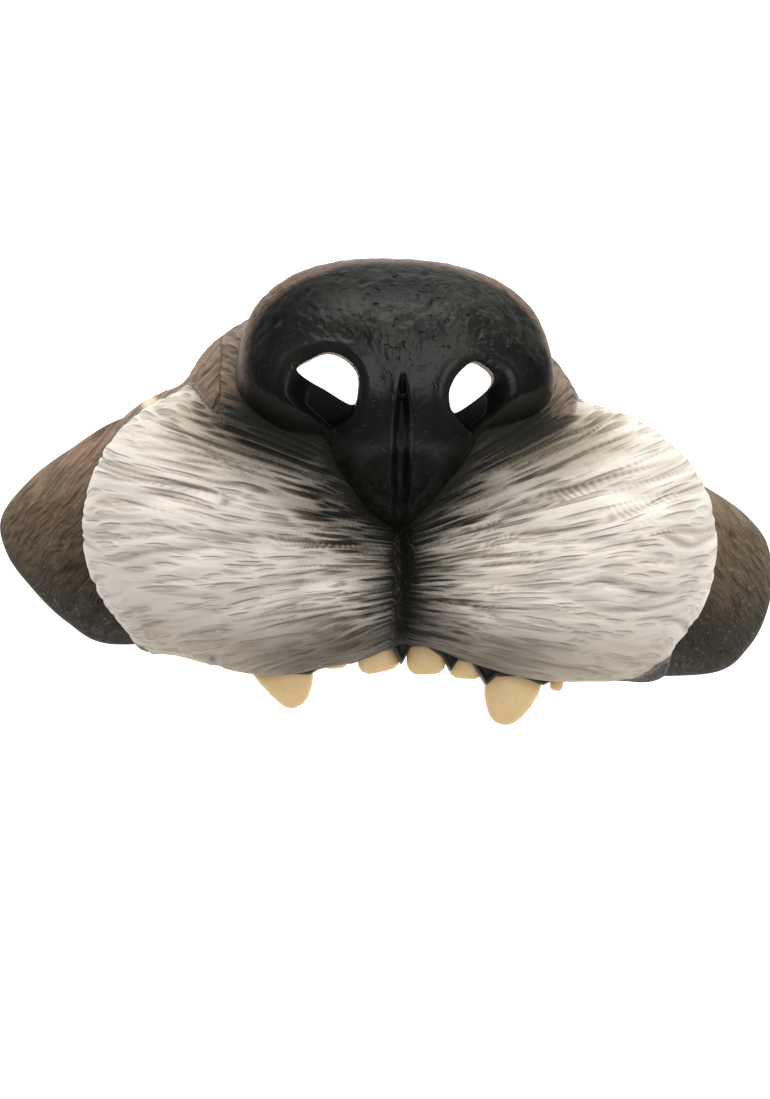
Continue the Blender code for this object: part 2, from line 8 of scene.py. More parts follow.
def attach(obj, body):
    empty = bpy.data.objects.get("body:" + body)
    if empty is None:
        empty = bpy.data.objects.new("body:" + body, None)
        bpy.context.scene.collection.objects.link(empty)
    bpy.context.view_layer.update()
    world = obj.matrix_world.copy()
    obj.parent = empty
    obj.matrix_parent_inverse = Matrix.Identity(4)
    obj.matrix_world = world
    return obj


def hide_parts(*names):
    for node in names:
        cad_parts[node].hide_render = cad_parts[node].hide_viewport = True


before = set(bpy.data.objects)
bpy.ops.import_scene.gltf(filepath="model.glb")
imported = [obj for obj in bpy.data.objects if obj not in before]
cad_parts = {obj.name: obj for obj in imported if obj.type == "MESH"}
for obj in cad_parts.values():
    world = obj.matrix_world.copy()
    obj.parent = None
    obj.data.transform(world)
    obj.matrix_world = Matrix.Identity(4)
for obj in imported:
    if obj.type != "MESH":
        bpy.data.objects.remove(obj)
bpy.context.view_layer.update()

# The shape is worked out in the part's own drawing frame, then moved by SHIFT to the row frame.
SHIFT = np.array([0.00310359614, 0.00107640001, 0.0])

# Driving sizes
SIDE_REACH = 0.100        # middle line to the farther flap's edge
MUZZLE_HEIGHT = 0.100     # lower edge of the whisker pads to the top of the nose
MUZZLE_DEPTH = 0.090      # rear edges to the front of the nose
SKIN_WALL = 0.0026        # latex wall
REAR_EDGE = 0.0034        # width of the trimmed rear edge
CORNER_EDGE = 0.0024      # extra width of the edge at the corner of the mouth on the viewer's left
CORNER_TURN = 211.0       # where that corner is, and how far the extra width spreads, degrees
CORNER_SPREAD = 8.0
FIT_GAP = 0.00035         # clearance between seated pieces
NOSE_LAP = 0.20           # share of the nose's reach that laps over the skin
NOSE_EDGE = 0.0017        # thickness of the nose's lower border
NOSTRIL_DEPTH = 0.0062    # depth of the hollow round each nostril
FOLD_DEPTH = 0.0013       # depth of the main fur folds
GUM_THICK = 0.0104        # front to back
GUM_RISE = 0.0078         # height above the lip's edge
ROOT_LENGTH = 0.0050      # tooth length inside its socket
FANG_THICK = 0.0068
INCISOR_THICK = 0.0052

AROUND = 80               # stations round the muzzle
EDGE_BLEND = 0.72         # share of the way to the edge past which the skin turns to meet it
MM = 1000.0               # metres to millimetres

# Point inside the muzzle from which the skin is drawn: x, y, z
CORE = (0.0, -8.0, 11.0)

# Rounded masses of the skin.
# x and reach_x: % of SIDE_REACH; y, reach_y: % of MUZZLE_HEIGHT; z, reach_z: % of MUZZLE_DEPTH
# square: 2 is an ellipsoid, more is boxier; lean and turn in degrees; blend: % of SIDE_REACH
# name            x      y      z   reach_x reach_y reach_z square lean turn blend
SKIN_MASSES = (
    ("plate",      3.0, -11.0, -15.5, 101.0,  44.0,  43.0, 2.2,   0.0,  -3.0,  0.0),
    ("bridge",     0.0,  19.0,  26.0,  43.0,  35.0,  52.0, 2.2,   0.0,   0.0,  6.0),
    ("cheek_l",  -42.0,   5.0,  22.0,  27.0,  22.0,  30.0, 2.0,   0.0,   0.0,  5.0),
    ("cheek_r",   46.0,   3.0,  22.0,  27.0,  22.0,  30.0, 2.0,   0.0,   0.0,  5.0),
    ("flank_l",  -25.0,  19.0,  32.0,  24.6,  23.4,  40.0, 2.2,   0.0,   0.0,  4.0),
    ("flank_r",   22.5,  17.0,  32.0,  25.0,  22.4,  40.0, 2.2,   0.0,   0.0,  4.0),
    ("pad_l",    -34.5,  -8.5,  39.0,  38.0,  34.5,  31.0, 2.1,  14.0,  -7.0,  2.5),
    ("pad_r",     41.5,  -9.0,  39.0,  38.5,  34.5,  31.0, 2.1, -14.0,  -4.0,  2.5),
    ("lip_l",    -11.5, -17.5,  44.0,  19.5,  22.5,  29.0, 2.2,   8.0,  10.0,  3.0),
    ("lip_r",     17.0, -16.0,  44.0,  18.5,  22.0,  29.0, 2.2,  -8.0, -12.0,  3.0),
    ("root",       0.0,  29.0,  62.0,  31.0,  21.5,  25.0, 2.2,   0.0,   0.0,  5.0),
)

# Masses of the nose over it, same columns
NOSE_MASSES = (
    ("bulb",      -0.5,  30.0,  64.0,  37.6,  25.6,  31.5, 2.3,   0.0,   0.0,  0.0),
    ("ala_l",    -21.0,  24.5,  72.0,  16.5,  13.5,  17.5, 2.2,   0.0,   0.0,  3.0),
    ("ala_r",     21.5,  26.0,  72.0,  16.5,  13.5,  17.5, 2.2,   0.0,   0.0,  3.0),
    ("septum",     1.0,  12.0,  68.0,  12.5,  20.0,  17.0, 2.2,   0.0,   0.0,  3.0),
)

# Rear and lip edge, round CORE: degrees, % of SIDE_REACH, % of MUZZLE_DEPTH
EDGE = (
    # turn  reach height
    (-32.0,  64.0,  34.0),
    (-27.0,  73.0,  12.0),
    (-23.5,  83.5,   0.0),
    (-20.0,  93.0,   0.0),
    (-15.0,  98.2,   0.0),
    (-9.0,  100.6,   0.0),
    (-3.0,  100.2,   0.0),
    (1.5,    97.8,   0.0),
    (5.5,    92.3,   0.0),
    (9.5,    84.8,   0.0),
    (15.0,   74.8,   3.5),
    (24.0,   66.5,   8.0),
    (36.0,   58.0,  12.0),
    (50.0,   57.5,  14.0),
    (68.0,   60.5,  16.0),
    (90.0,   60.5,  17.0),
    (112.0,  60.5,  16.0),
    (130.0,  57.5,  14.0),
    (145.0,  58.5,  10.0),
    (154.0,  65.5,   4.0),
    (160.0,  72.6,   0.0),
    (166.0,  78.8,   0.0),
    (173.0,  87.5,   0.0),
    (180.6,  94.2,   0.0),
    (185.0,  92.7,   0.0),
    (191.0,  87.4,   0.0),
    (198.0,  80.6,   0.0),
    (204.0,  73.4,   0.0),
    (208.5,  61.5,   7.0),
    (214.0,  54.0,  25.0),
    (222.0,  50.2,  37.5),
    (232.0,  44.5,  40.0),
    (246.0,  36.2,  44.0),
    (262.0,  30.5,  48.0),
    (281.0,  26.8,  50.0),
    (297.0,  31.2,  48.0),
    (309.0,  40.5,  44.0),
    (319.0,  52.0,  40.5),
)

# Border of the nose, round NOSE_MIDDLE: degrees, % of SIDE_REACH, % of MUZZLE_DEPTH
NOSE_MIDDLE = (0.0, 20.0)
BORDER = (
    # turn  reach height
    (2.4,    33.8,  69.0),
    (9.0,    36.2,  68.0),
    (16.5,   37.6,  66.0),
    (33.0,   38.6,  61.0),
    (52.0,   37.4,  56.0),
    (70.0,   36.0,  53.0),
    (90.0,   35.2,  52.0),
    (112.0,  36.2,  53.0),
    (131.0,  38.0,  56.0),
    (149.0,  39.0,  61.0),
    (165.8,  37.3,  66.0),
    (178.4,  34.3,  69.0),
    (184.3,  31.2,  71.0),
    (191.0,  27.0,  72.0),
    (197.0,  22.8,  73.0),
    (204.0,  18.4,  74.0),
    (213.0,  17.4,  74.0),
    (228.0,  18.8,  74.0),
    (245.3,  20.9,  74.0),
    (262.0,  24.6,  73.0),
    (275.5,  27.0,  72.0),
    (288.0,  24.0,  73.0),
    (305.1,  20.6,  74.0),
    (323.0,  19.6,  74.0),
    (337.0,  18.8,  74.0),
    (345.0,  20.4,  73.0),
    (354.0,  26.6,  71.0),
)

# Fur folds: ends and bow of each line seen from the front, and its share of depth
# lengths in % of SIDE_REACH (x, bow) and MUZZLE_HEIGHT (y)
FOLDS = (
    # from_x from_y  to_x   to_y   bow  depth
    (-12.0,   4.0, -58.0,   9.0,   3.5,  0.9),
    (-8.0,   -4.0, -64.0,  -5.0,   5.0,  1.0),
    (-4.0,  -12.0, -60.0, -20.0,   5.0,  1.0),
    (-3.0,  -20.0, -48.0, -32.0,   4.0,  0.8),
    (17.0,    4.0,  62.0,  12.0,   3.5,  0.9),
    (13.0,   -4.0,  71.0,   0.0,   5.0,  1.0),
    (9.0,   -12.0,  70.0, -14.0,   5.0,  1.0),
    (8.0,   -20.0,  58.0, -28.0,   4.0,  0.8),
)
FOLD_WIDTH = 0.0042

# Groove between the whisker pads: from_y, to_y, x at both, depth and width
PHILTRUM = (-7.0, -36.0, 2.0, 4.6)
PHILTRUM_DEPTH = 0.0042
PHILTRUM_WIDTH = 0.0042

# Seen from the front, outline of each through opening, % of SIDE_REACH and MUZZLE_HEIGHT
OPENING_LEFT = (
    (-23.4, 27.6), (-20.2, 30.4), (-16.4, 31.8), (-12.6, 30.6),
    (-9.8, 27.6), (-9.4, 23.6), (-10.6, 20.4), (-16.8, 23.6),
)
OPENING_RIGHT = (
    (16.6, 31.0), (20.4, 29.0), (21.0, 26.4), (18.2, 23.2),
    (12.4, 19.4), (10.9, 23.0), (11.8, 26.6), (14.0, 29.4),
)

# Outline of the hollow round each opening, same columns
HOLLOW_LEFT = (
    (-24.3, 28.2), (-21.6, 30.8), (-17.1, 32.1), (-13.1, 31.5), (-9.8, 28.2), (-8.9, 24.5),
    (-9.0, 20.6), (-10.9, 16.8), (-15.4, 14.4), (-19.3, 16.1), (-24.9, 20.8), (-25.6, 24.5),
)
HOLLOW_RIGHT = (
    (16.8, 31.5), (21.2, 29.7), (23.8, 28.3), (24.8, 24.4), (24.1, 20.4), (21.0, 17.7),
    (17.6, 14.6), (13.3, 17.1), (11.1, 20.7), (10.6, 24.7), (12.9, 29.1),
)
HOLLOW_SIDE = 0.0032      # width of the sloping side of each hollow
GROOVE_DEPTH = 0.0030     # middle groove of the nose

# Teeth: root middle and tip seen from the front, widths in % of SIDE_REACH
# name              root_x  root_y  tip_x  tip_y  width  bow  kind
TEETH = (
    ("fang_left",         -24.6, -40.0, -19.2, -50.6, 13.2,  0.9, "fang"),
    ("incisor_left_side", -10.9, -37.0, -10.5, -41.0,  6.0,  0.0, "incisor"),
    ("incisor_left_mid",   -1.4, -34.6,   0.4, -41.3, 10.2,  0.0, "incisor"),
    ("incisor_right_mid",  10.6, -33.4,  11.2, -41.6,  9.4,  0.0, "incisor"),
    ("incisor_right_side", 20.9, -37.0,  20.7, -42.4,  8.0,  0.0, "incisor"),
    ("fang_right",         33.2, -40.5,  29.9, -53.2, 13.6,  0.0, "fang"),
    ("cheek_tooth_right",  43.6, -41.0,  43.2, -44.8,  3.2,  0.0, "incisor"),
)
FANG_TAPER = ((0.0, 1.0), (0.3, 0.99), (0.55, 0.86), (0.75, 0.68), (0.9, 0.48), (0.98, 0.26))
INCISOR_TAPER = ((0.0, 0.90), (0.35, 0.98), (0.65, 1.0), (0.85, 0.90), (0.96, 0.66))

# Gum strip: x along the lip and how far its scalloped edge hangs below the lip, %
GUM = (
    # x     hang
    (-31.0,  0.4),
    (-28.0,  0.6),
    (-22.0,  0.8),
    (-16.6,  2.0),
    (-14.0,  0.8),
    (-10.8,  0.7),
    (-6.8,   1.4),
    (-1.4,   0.8),
    (2.8,    1.6),
    (4.8,    5.8),
    (7.0,    1.6),
    (10.6,   0.9),
    (14.8,   2.2),
    (16.8,   4.9),
    (18.6,   1.4),
    (22.0,   0.9),
    (25.6,   5.2),
    (28.0,   2.4),
    (33.6,   0.9),
    (39.6,   2.2),
    (42.8,   0.6),
    (46.4,   0.4),
)


def size(x, y, z):
    """Per cent values to metres."""
    return np.array([x * SIDE_REACH, y * MUZZLE_HEIGHT, z * MUZZLE_DEPTH]) / 100.0


CENTRE = size(*CORE)


def unit(v):
    return v / np.linalg.norm(v, axis=-1, keepdims=True)


def ease(t):
    t = np.clip(t, 0.0, 1.0)
    return t * t * (3.0 - 2.0 * t)


def mass(p, row):
    """Distance from points p to one rounded mass, negative inside."""
    _, x, y, z, rx, ry, rz, square, lean, turn, _ = row
    q = p - size(x, y, z)
    a, b = np.radians(turn), np.radians(lean)
    q = np.stack([q[..., 0] * np.cos(a) + q[..., 1] * np.sin(a),
                  q[..., 1] * np.cos(a) - q[..., 0] * np.sin(a), q[..., 2]], axis=-1)
    q = np.stack([q[..., 0] * np.cos(b) - q[..., 2] * np.sin(b), q[..., 1],
                  q[..., 2] * np.cos(b) + q[..., 0] * np.sin(b)], axis=-1)
    reach = size(rx, ry, rz)
    s = np.abs(q) / reach + 1e-9
    k = (s ** square).sum(axis=-1) ** (1.0 / square)
    slope = (s / k[..., None]) ** (square - 1.0) / reach
    return (k - 1.0) / np.linalg.norm(slope, axis=-1)


def union(p, rows):
    """Smoothly blended union of the masses in a table."""
    d = mass(p, rows[0])
    for row in rows[1:]:
        e = mass(p, row)
        k = max(row[-1] * SIDE_REACH / 100.0, 1e-5)
        h = np.clip(0.5 + 0.5 * (e - d) / k, 0.0, 1.0)
        d = e * (1.0 - h) + d * h - k * h * (1.0 - h)
    return d


def skin_field(p):
    return union(p, SKIN_MASSES)


def nose_field(p):
    return union(p, NOSE_MASSES)


def round_table(rows, turns):
    """Read a closed table of turn, reach and height at the given turns."""
    table = np.array(rows, float)
    order = np.argsort(table[:, 0] % 360.0)
    table = table[order]
    angle = table[:, 0] % 360.0
    out = []
    for column in (1, 2):
        a = np.concatenate([angle[-2:] - 360.0, angle, angle[:2] + 360.0])
        v = np.concatenate([table[-2:, column], table[:, column], table[:2, column]])
        slope = np.gradient(v, a)
        i = np.clip(np.searchsorted(a, turns % 360.0, side="right") - 1, 1, len(a) - 3)
        h = a[i + 1] - a[i]
        t = (turns % 360.0 - a[i]) / h
        value = ((1 + 2 * t) * (1 - t) ** 2 * v[i] + t * (1 - t) ** 2 * h * slope[i]
                 + t * t * (3 - 2 * t) * v[i + 1] + t * t * (t - 1) * h * slope[i + 1])
        out.append(value)
    return out[0], np.maximum(out[1], 0.0)


def edge_points(turns, inward):
    """Points along the trimmed edge of the skin, moved inward by a length."""
    reach, height = round_table(EDGE, turns)
    a = np.radians(turns)
    corner = np.exp(-((turns % 360.0 - CORNER_TURN) / CORNER_SPREAD) ** 2)
    inward = inward * (1.0 + CORNER_EDGE / REAR_EDGE * corner)
    x = CENTRE[0] + (reach * SIDE_REACH / 100.0 - inward) * np.cos(a)
    y = CENTRE[1] + (reach * MUZZLE_HEIGHT / 100.0 - inward) * np.sin(a)
    return np.stack([x, y, height * MUZZLE_DEPTH / 100.0], axis=-1)


def border_directions(turns, share):
    """Directions from CENTRE to the nose's border, or to a share of its reach."""
    reach, height = round_table(BORDER, turns)
    a = np.radians(turns)
    x = (NOSE_MIDDLE[0] + share * reach * np.cos(a)) * SIDE_REACH / 100.0
    y = (NOSE_MIDDLE[1] + share * reach * np.sin(a)) * MUZZLE_HEIGHT / 100.0
    z = (height + (1.0 - share) * 16.0) * MUZZLE_DEPTH / 100.0
    return unit(np.stack([x, y, z], axis=-1) - CENTRE)


def between(a, b, t):
    """Directions turned from a to b by the share t."""
    angle = np.arccos(np.clip((a * b).sum(axis=-1, keepdims=True), -1.0, 1.0))
    return unit((a * np.sin((1.0 - t) * angle) + b * np.sin(t * angle)) / np.sin(angle))


def fold_cut(p):
    """Depth taken from the skin by the fur folds and the groove between the pads."""
    x, y = p[..., 0] / SIDE_REACH * 100.0, p[..., 1] / MUZZLE_HEIGHT * 100.0
    width = FOLD_WIDTH / SIDE_REACH * 100.0
    cut = np.zeros(x.shape)
    for x0, y0, x1, y1, bow, depth in FOLDS:
        t = np.clip((x - x0) / (x1 - x0), -0.2, 1.2)
        line = y0 + (y1 - y0) * t + bow * 4.0 * t * (1.0 - t)
        fade = ease((t + 0.05) / 0.15) * ease((1.05 - t) / 0.35)
        cut = np.maximum(cut, FOLD_DEPTH * depth * fade * np.exp(-((y - line) / width * 2.0) ** 2))
    y0, y1, x0, x1 = PHILTRUM
    t = (y - y0) / (y1 - y0)
    middle = x0 + (x1 - x0) * np.clip(t, 0.0, 1.0)
    fade = ease((t + 0.15) / 0.2) * ease((1.35 - t) / 0.3)
    wide = PHILTRUM_WIDTH / SIDE_REACH * 100.0
    groove = PHILTRUM_DEPTH * fade * np.exp(-((x - middle) / wide * 2.0) ** 2)
    return np.maximum(cut, groove)


def inside(x, y, outline):
    """Distance of each point inside a closed outline, negative outside."""
    near = np.full(x.shape, 1e9)
    turns = np.zeros(x.shape)
    points = np.array(outline, float)
    for (ax, ay), (bx, by) in zip(points, np.roll(points, -1, axis=0)):
        dx, dy = bx - ax, by - ay
        t = np.clip(((x - ax) * dx + (y - ay) * dy) / (dx * dx + dy * dy), 0.0, 1.0)
        near = np.minimum(near, np.hypot(x - ax - t * dx, y - ay - t * dy))
        turns = turns + np.arctan2((ax - x) * (by - y) - (ay - y) * (bx - x),
                                   (ax - x) * (bx - x) + (ay - y) * (by - y))
    return np.where(np.abs(turns) > pi, near, -near)


def lip_edge(x):
    """Height across and depth of the lip's edge at x, along its straight facets."""
    found = []
    for count, inward in ((AROUND, 0.0), (AROUND // 2, REAR_EDGE)):
        turns = np.arange(count) * 360.0 / count
        p = edge_points(turns[(turns > 205.0) & (turns < 335.0)], inward)
        order = np.argsort(p[:, 0])
        found.append([np.interp(x, p[order, 0], p[order, k]) for k in (1, 2)])
    return found[0][0], min(found[0][1], found[1][1])


def seat_height(x, half):
    """Lowest height of the lip's edge from x - half to x + half."""
    return min(lip_edge(x + step * half)[1] for step in (-1.0, -0.5, 0.0, 0.5, 1.0))


def sphere_reach(way, field, level=0.0):
    """Distance from CENTRE to the outermost crossing of a level along each direction."""
    flat = way.reshape(-1, 3)
    far = np.full(len(flat), 0.17)
    live = np.arange(len(flat))
    for _ in range(70):
        step = field(CENTRE + flat[live] * far[live][:, None]) - level
        far[live] -= step
        live = live[step > 2e-6]
        if not len(live):
            break
    return far.reshape(way.shape[:-1])


def gradient_noise(u, v, seed):
    """Smooth noise of two coordinates, about -0.7 to 0.7, the same at every run."""
    table = np.random.default_rng(seed).random(4096) * 2.0 * pi
    i, j = np.floor(u).astype(int), np.floor(v).astype(int)
    fu, fv = u - i, v - j
    su, sv = [f * f * f * (f * (f * 6.0 - 15.0) + 10.0) for f in (fu, fv)]

    def corner(di, dj):
        a = table[((i + di) * 73 + (j + dj) * 1621) % 4096]
        return np.cos(a) * (fu - di) + np.sin(a) * (fv - dj)

    low = corner(0, 0) * (1.0 - su) + corner(1, 0) * su
    high = corner(0, 1) * (1.0 - su) + corner(1, 1) * su
    return low * (1.0 - sv) + high * sv


def chance(i, j, seed):
    """A seeded number from 0 to 1 for each cell."""
    n = np.sin(i * 127.1 + j * 311.7 + seed * 74.7) * 43758.5453
    return n - np.floor(n)


def furrows(u, s, cell_u, cell_s, width, seed, fill):
    """Short tapered furrows along s, at most one to a cell: 0 beside them, 1 at their deepest.

    Each is moved, shortened, tilted, bowed and made fainter by chance; fill is the share of cells with one.
    """
    deepest = np.zeros(u.shape)
    for di in (-2, -1, 0, 1, 2):
        for dj in (-1, 0, 1):
            i, j = np.floor(u / cell_u) + di, np.floor(s / cell_s) + dj
            du = u - (i + chance(i, j, seed)) * cell_u
            ds = s - (j + chance(i, j, seed + 1)) * cell_s
            t = ds / (cell_s * (0.35 + 0.60 * chance(i, j, seed + 2)))
            tilt = (chance(i, j, seed + 3) - 0.5) * 0.24
            bow = (chance(i, j, seed + 4) - 0.5) * 1.8
            off = du - tilt * ds - bow * t * t
            taper = np.clip(1.0 - t * t, 0.0, 1.0)
            here = np.clip(1.0 - np.abs(off) / (width * (0.3 + 0.7 * taper)), 0.0, 1.0) * np.sqrt(taper)
            here = here * (0.35 + 0.65 * chance(i, j, seed + 5)) * (chance(i, j, seed + 6) < fill)
            deepest = np.maximum(deepest, here)
    return deepest


def layers(u, s, rows, base):
    """Deepest of several layers of furrows, from a table of them."""
    deepest = np.zeros(u.shape)
    for cell_u, cell_s, width, seed, fill, weight in rows:
        deepest = np.maximum(deepest, weight * furrows(u, s, cell_u, cell_s, width, base + seed, fill))
    return deepest


def grid_normals(grid):
    """Outward normals of a grid of points, rings by stations."""
    along = np.gradient(grid, axis=0)
    around = np.roll(grid, -1, axis=1) - np.roll(grid, 1, axis=1)
    n = np.cross(around, along)
    n = n / (np.linalg.norm(n, axis=-1, keepdims=True) + 1e-12)
    side = np.sign((n * (grid - CENTRE)).sum(axis=-1, keepdims=True))
    return n * np.where(side == 0, 1.0, side)


def path_length(grid):
    """Length along each station from the first ring, in mm."""
    step = np.linalg.norm(np.diff(grid, axis=0), axis=-1)
    return np.concatenate([np.zeros((1, grid.shape[1])), np.cumsum(step, axis=0)]) * MM


def grid_object(name, grid, caps=None, fields=None):
    """Closed mesh from rings of equal length, with number fields kept on its points."""
    rings, count = grid.shape[:2]
    points = grid.reshape(-1, 3)
    index = np.arange(rings * count).reshape(rings, count)
    a, b = index[:-1], index[1:]
    if caps is None:
        a, b = index, np.roll(index, -1, axis=0)
    quads = np.stack([a, np.roll(a, -1, axis=1), np.roll(b, -1, axis=1), b], axis=-1).reshape(-1, 4)
    faces = quads.tolist()
    if caps is not None:
        points = np.concatenate([points, np.array(caps)])
        first, last = index[0], index[-1]
        for i in range(count):
            j = (i + 1) % count
            faces.append((first[j], first[i], len(points) - 2))
            faces.append((last[i], last[j], len(points) - 1))
    volume = 0.0
    for corners in ((0, 1, 2), (0, 2, 3)):
        tri = points[quads[:, corners]]
        volume += np.einsum("ij,ij->i", tri[:, 0], np.cross(tri[:, 1], tri[:, 2])).sum()
    if volume < 0.0:
        faces = [tuple(reversed(f)) for f in faces]
    mesh = bpy.data.meshes.new(name)
    mesh.from_pydata((points - SHIFT).tolist(), [], faces)
    for key, values in (fields or {}).items():
        values = np.asarray(values, float)
        kind = "FLOAT_VECTOR" if values.ndim == 3 else "FLOAT"
        flat = values.reshape(rings * count, -1)
        if caps is not None:
            flat = np.concatenate([flat, flat[:1], flat[-1:]])
        layer = mesh.attributes.new(key, kind, "POINT")
        layer.data.foreach_set("vector" if kind == "FLOAT_VECTOR" else "value",
                               flat.astype(np.float32).ravel())
    mesh.shade_smooth()
    mesh.update()
    obj = bpy.data.objects.new(name, mesh)
    bpy.context.scene.collection.objects.link(obj)
    return obj


def add_inner(values, rings, within):
    """A field of the outer rings, carried on over the inner rings with one value."""
    return np.concatenate([values, np.full((rings,) + values.shape[1:], within, float)])


def spread(ranges):
    """Unevenly spaced turns from rows of start, end and step."""
    out = []
    for start, end, step in ranges:
        out.append(np.arange(start, end - 0.5 * step, step))
    return np.concatenate(out)


# ---------------------------------------------------------------- skin

# Stations round the muzzle, degrees: finest over the two whisker pads
SKIN_TURNS = ((-45.0, 36.0, 0.33), (36.0, 144.0, 1.2), (144.0, 240.0, 0.33), (240.0, 315.0, 0.66))
SKIN_RINGS = 108
INNER_RINGS = 20

SPLIT = 3.3               # x where the fur lines of the two sides part, mm

# Layers of furrows: size of a cell across and along, half width, mm; seed, share filled, weight
PAD_FURROWS = (
    (3.0, 17.0, 0.95, 1, 0.75, 1.0),
    (2.2, 9.0, 0.75, 11, 0.55, 0.75),
)
CLOSE_FURROWS = (
    (2.6, 15.0, 1.25, 21, 0.9, 1.0),
)
FLAP_FURROWS = (
    (2.4, 9.0, 0.9, 301, 0.7, 1.0),
    (1.8, 6.0, 0.7, 311, 0.6, 0.7),
)
PAD_DEPTH, PAD_LUMPS = 0.66, 0.24        # depth of the furrows and height of the lumps on the pads, mm
FLAP_DEPTH, FLAP_LUMPS = 0.45, 0.20      # the same on the flaps
LOWEST, HIGHEST = -1.7, 0.45             # limits of the relief, mm
FAR_OFF = 60.0                           # distance given to the inside, past every painted zone, mm

# Middle the fur lines fan out from on each whisker pad, mm from the front
FAN = {"left": (34.0, -13.0), "right": (-24.0, -22.0)}

# Small marks on the skin, each a shallow pit with painted shade in it: x and y in mm, radius in mm, depth
# in mm, darkness
PITS = (
    (-38.6, -2.4, 1.0, 0.5, 0.9),
    (-40.2, -39.6, 0.9, 0.4, 0.7),
    (88.6, -5.3, 1.4, 0.7, 0.8),
    (89.9, -8.5, 1.1, 0.6, 0.8),
    (-75.0, -19.0, 2.0, 0.5, 0.8),
)
CHIP = (-57.4, 21.4, 2.0)      # bare latex patch on the upper edge, x, y, radius, mm


def fan_flow(p, side, along):
    """Coordinates across and along the fur lines of one side, in mm."""
    x, y = p[..., 0] * MM, p[..., 1] * MM
    cx, cy = FAN[side]
    turn = np.arctan2(y - cy, np.abs(x - cx) + 6.0)
    across = turn * 72.0
    sway = gradient_noise(across / 14.0, along / 24.0, 11) * 2.2
    sway += gradient_noise(across / 6.0, along / 9.0, 12) * 0.7
    return across + sway, along


def border_gap(p):
    """Distance outside the nose's border seen from the front, mm."""
    turns = np.arange(120) * 3.0
    reach, _ = round_table(BORDER, turns)
    a = np.radians(turns)
    outline = list(zip(NOSE_MIDDLE[0] + reach * np.cos(a), NOSE_MIDDLE[1] + reach * np.sin(a)))
    return -inside(p[..., 0] * MM, p[..., 1] * MM, outline)


def skin_grid():
    """Outer rings of the skin, from the window under the nose to the trimmed edge."""
    turns = spread(SKIN_TURNS)
    window = border_directions(turns, 1.0 - NOSE_LAP)
    border = border_directions(turns, 1.0)
    rim = edge_points(turns, 0.0)
    rim_way = unit(rim - CENTRE)
    rim_far = np.linalg.norm(rim - CENTRE, axis=-1)
    rim_cut = fold_cut(CENTRE + rim_way * sphere_reach(rim_way, skin_field)[:, None])
    rim_miss = rim_far - sphere_reach(rim_way, skin_field) + rim_cut
    ways, miss, share = [], [], []
    for t in (0.0, 0.4, 0.8):
        ways.append(between(window, border, t))
        miss.append(0.0 * rim_far)
        share.append(t - 1.0)
    for t in np.linspace(0.0, 1.0, SKIN_RINGS):
        ways.append(between(border, rim_way, t) if t < 1.0 else rim_way)
        miss.append(ease((t - EDGE_BLEND) / (1.0 - EDGE_BLEND)) * rim_miss)
        share.append(t)
    ways, miss = np.array(ways), np.array(miss)
    share = np.repeat(np.array(share)[:, None], len(turns), axis=1)
    r = sphere_reach(ways, skin_field)
    cut = fold_cut(CENTRE + ways * r[..., None])
    r = r - cut * ease(share / 0.03) + miss
    return turns, CENTRE + ways * r[..., None], share, cut


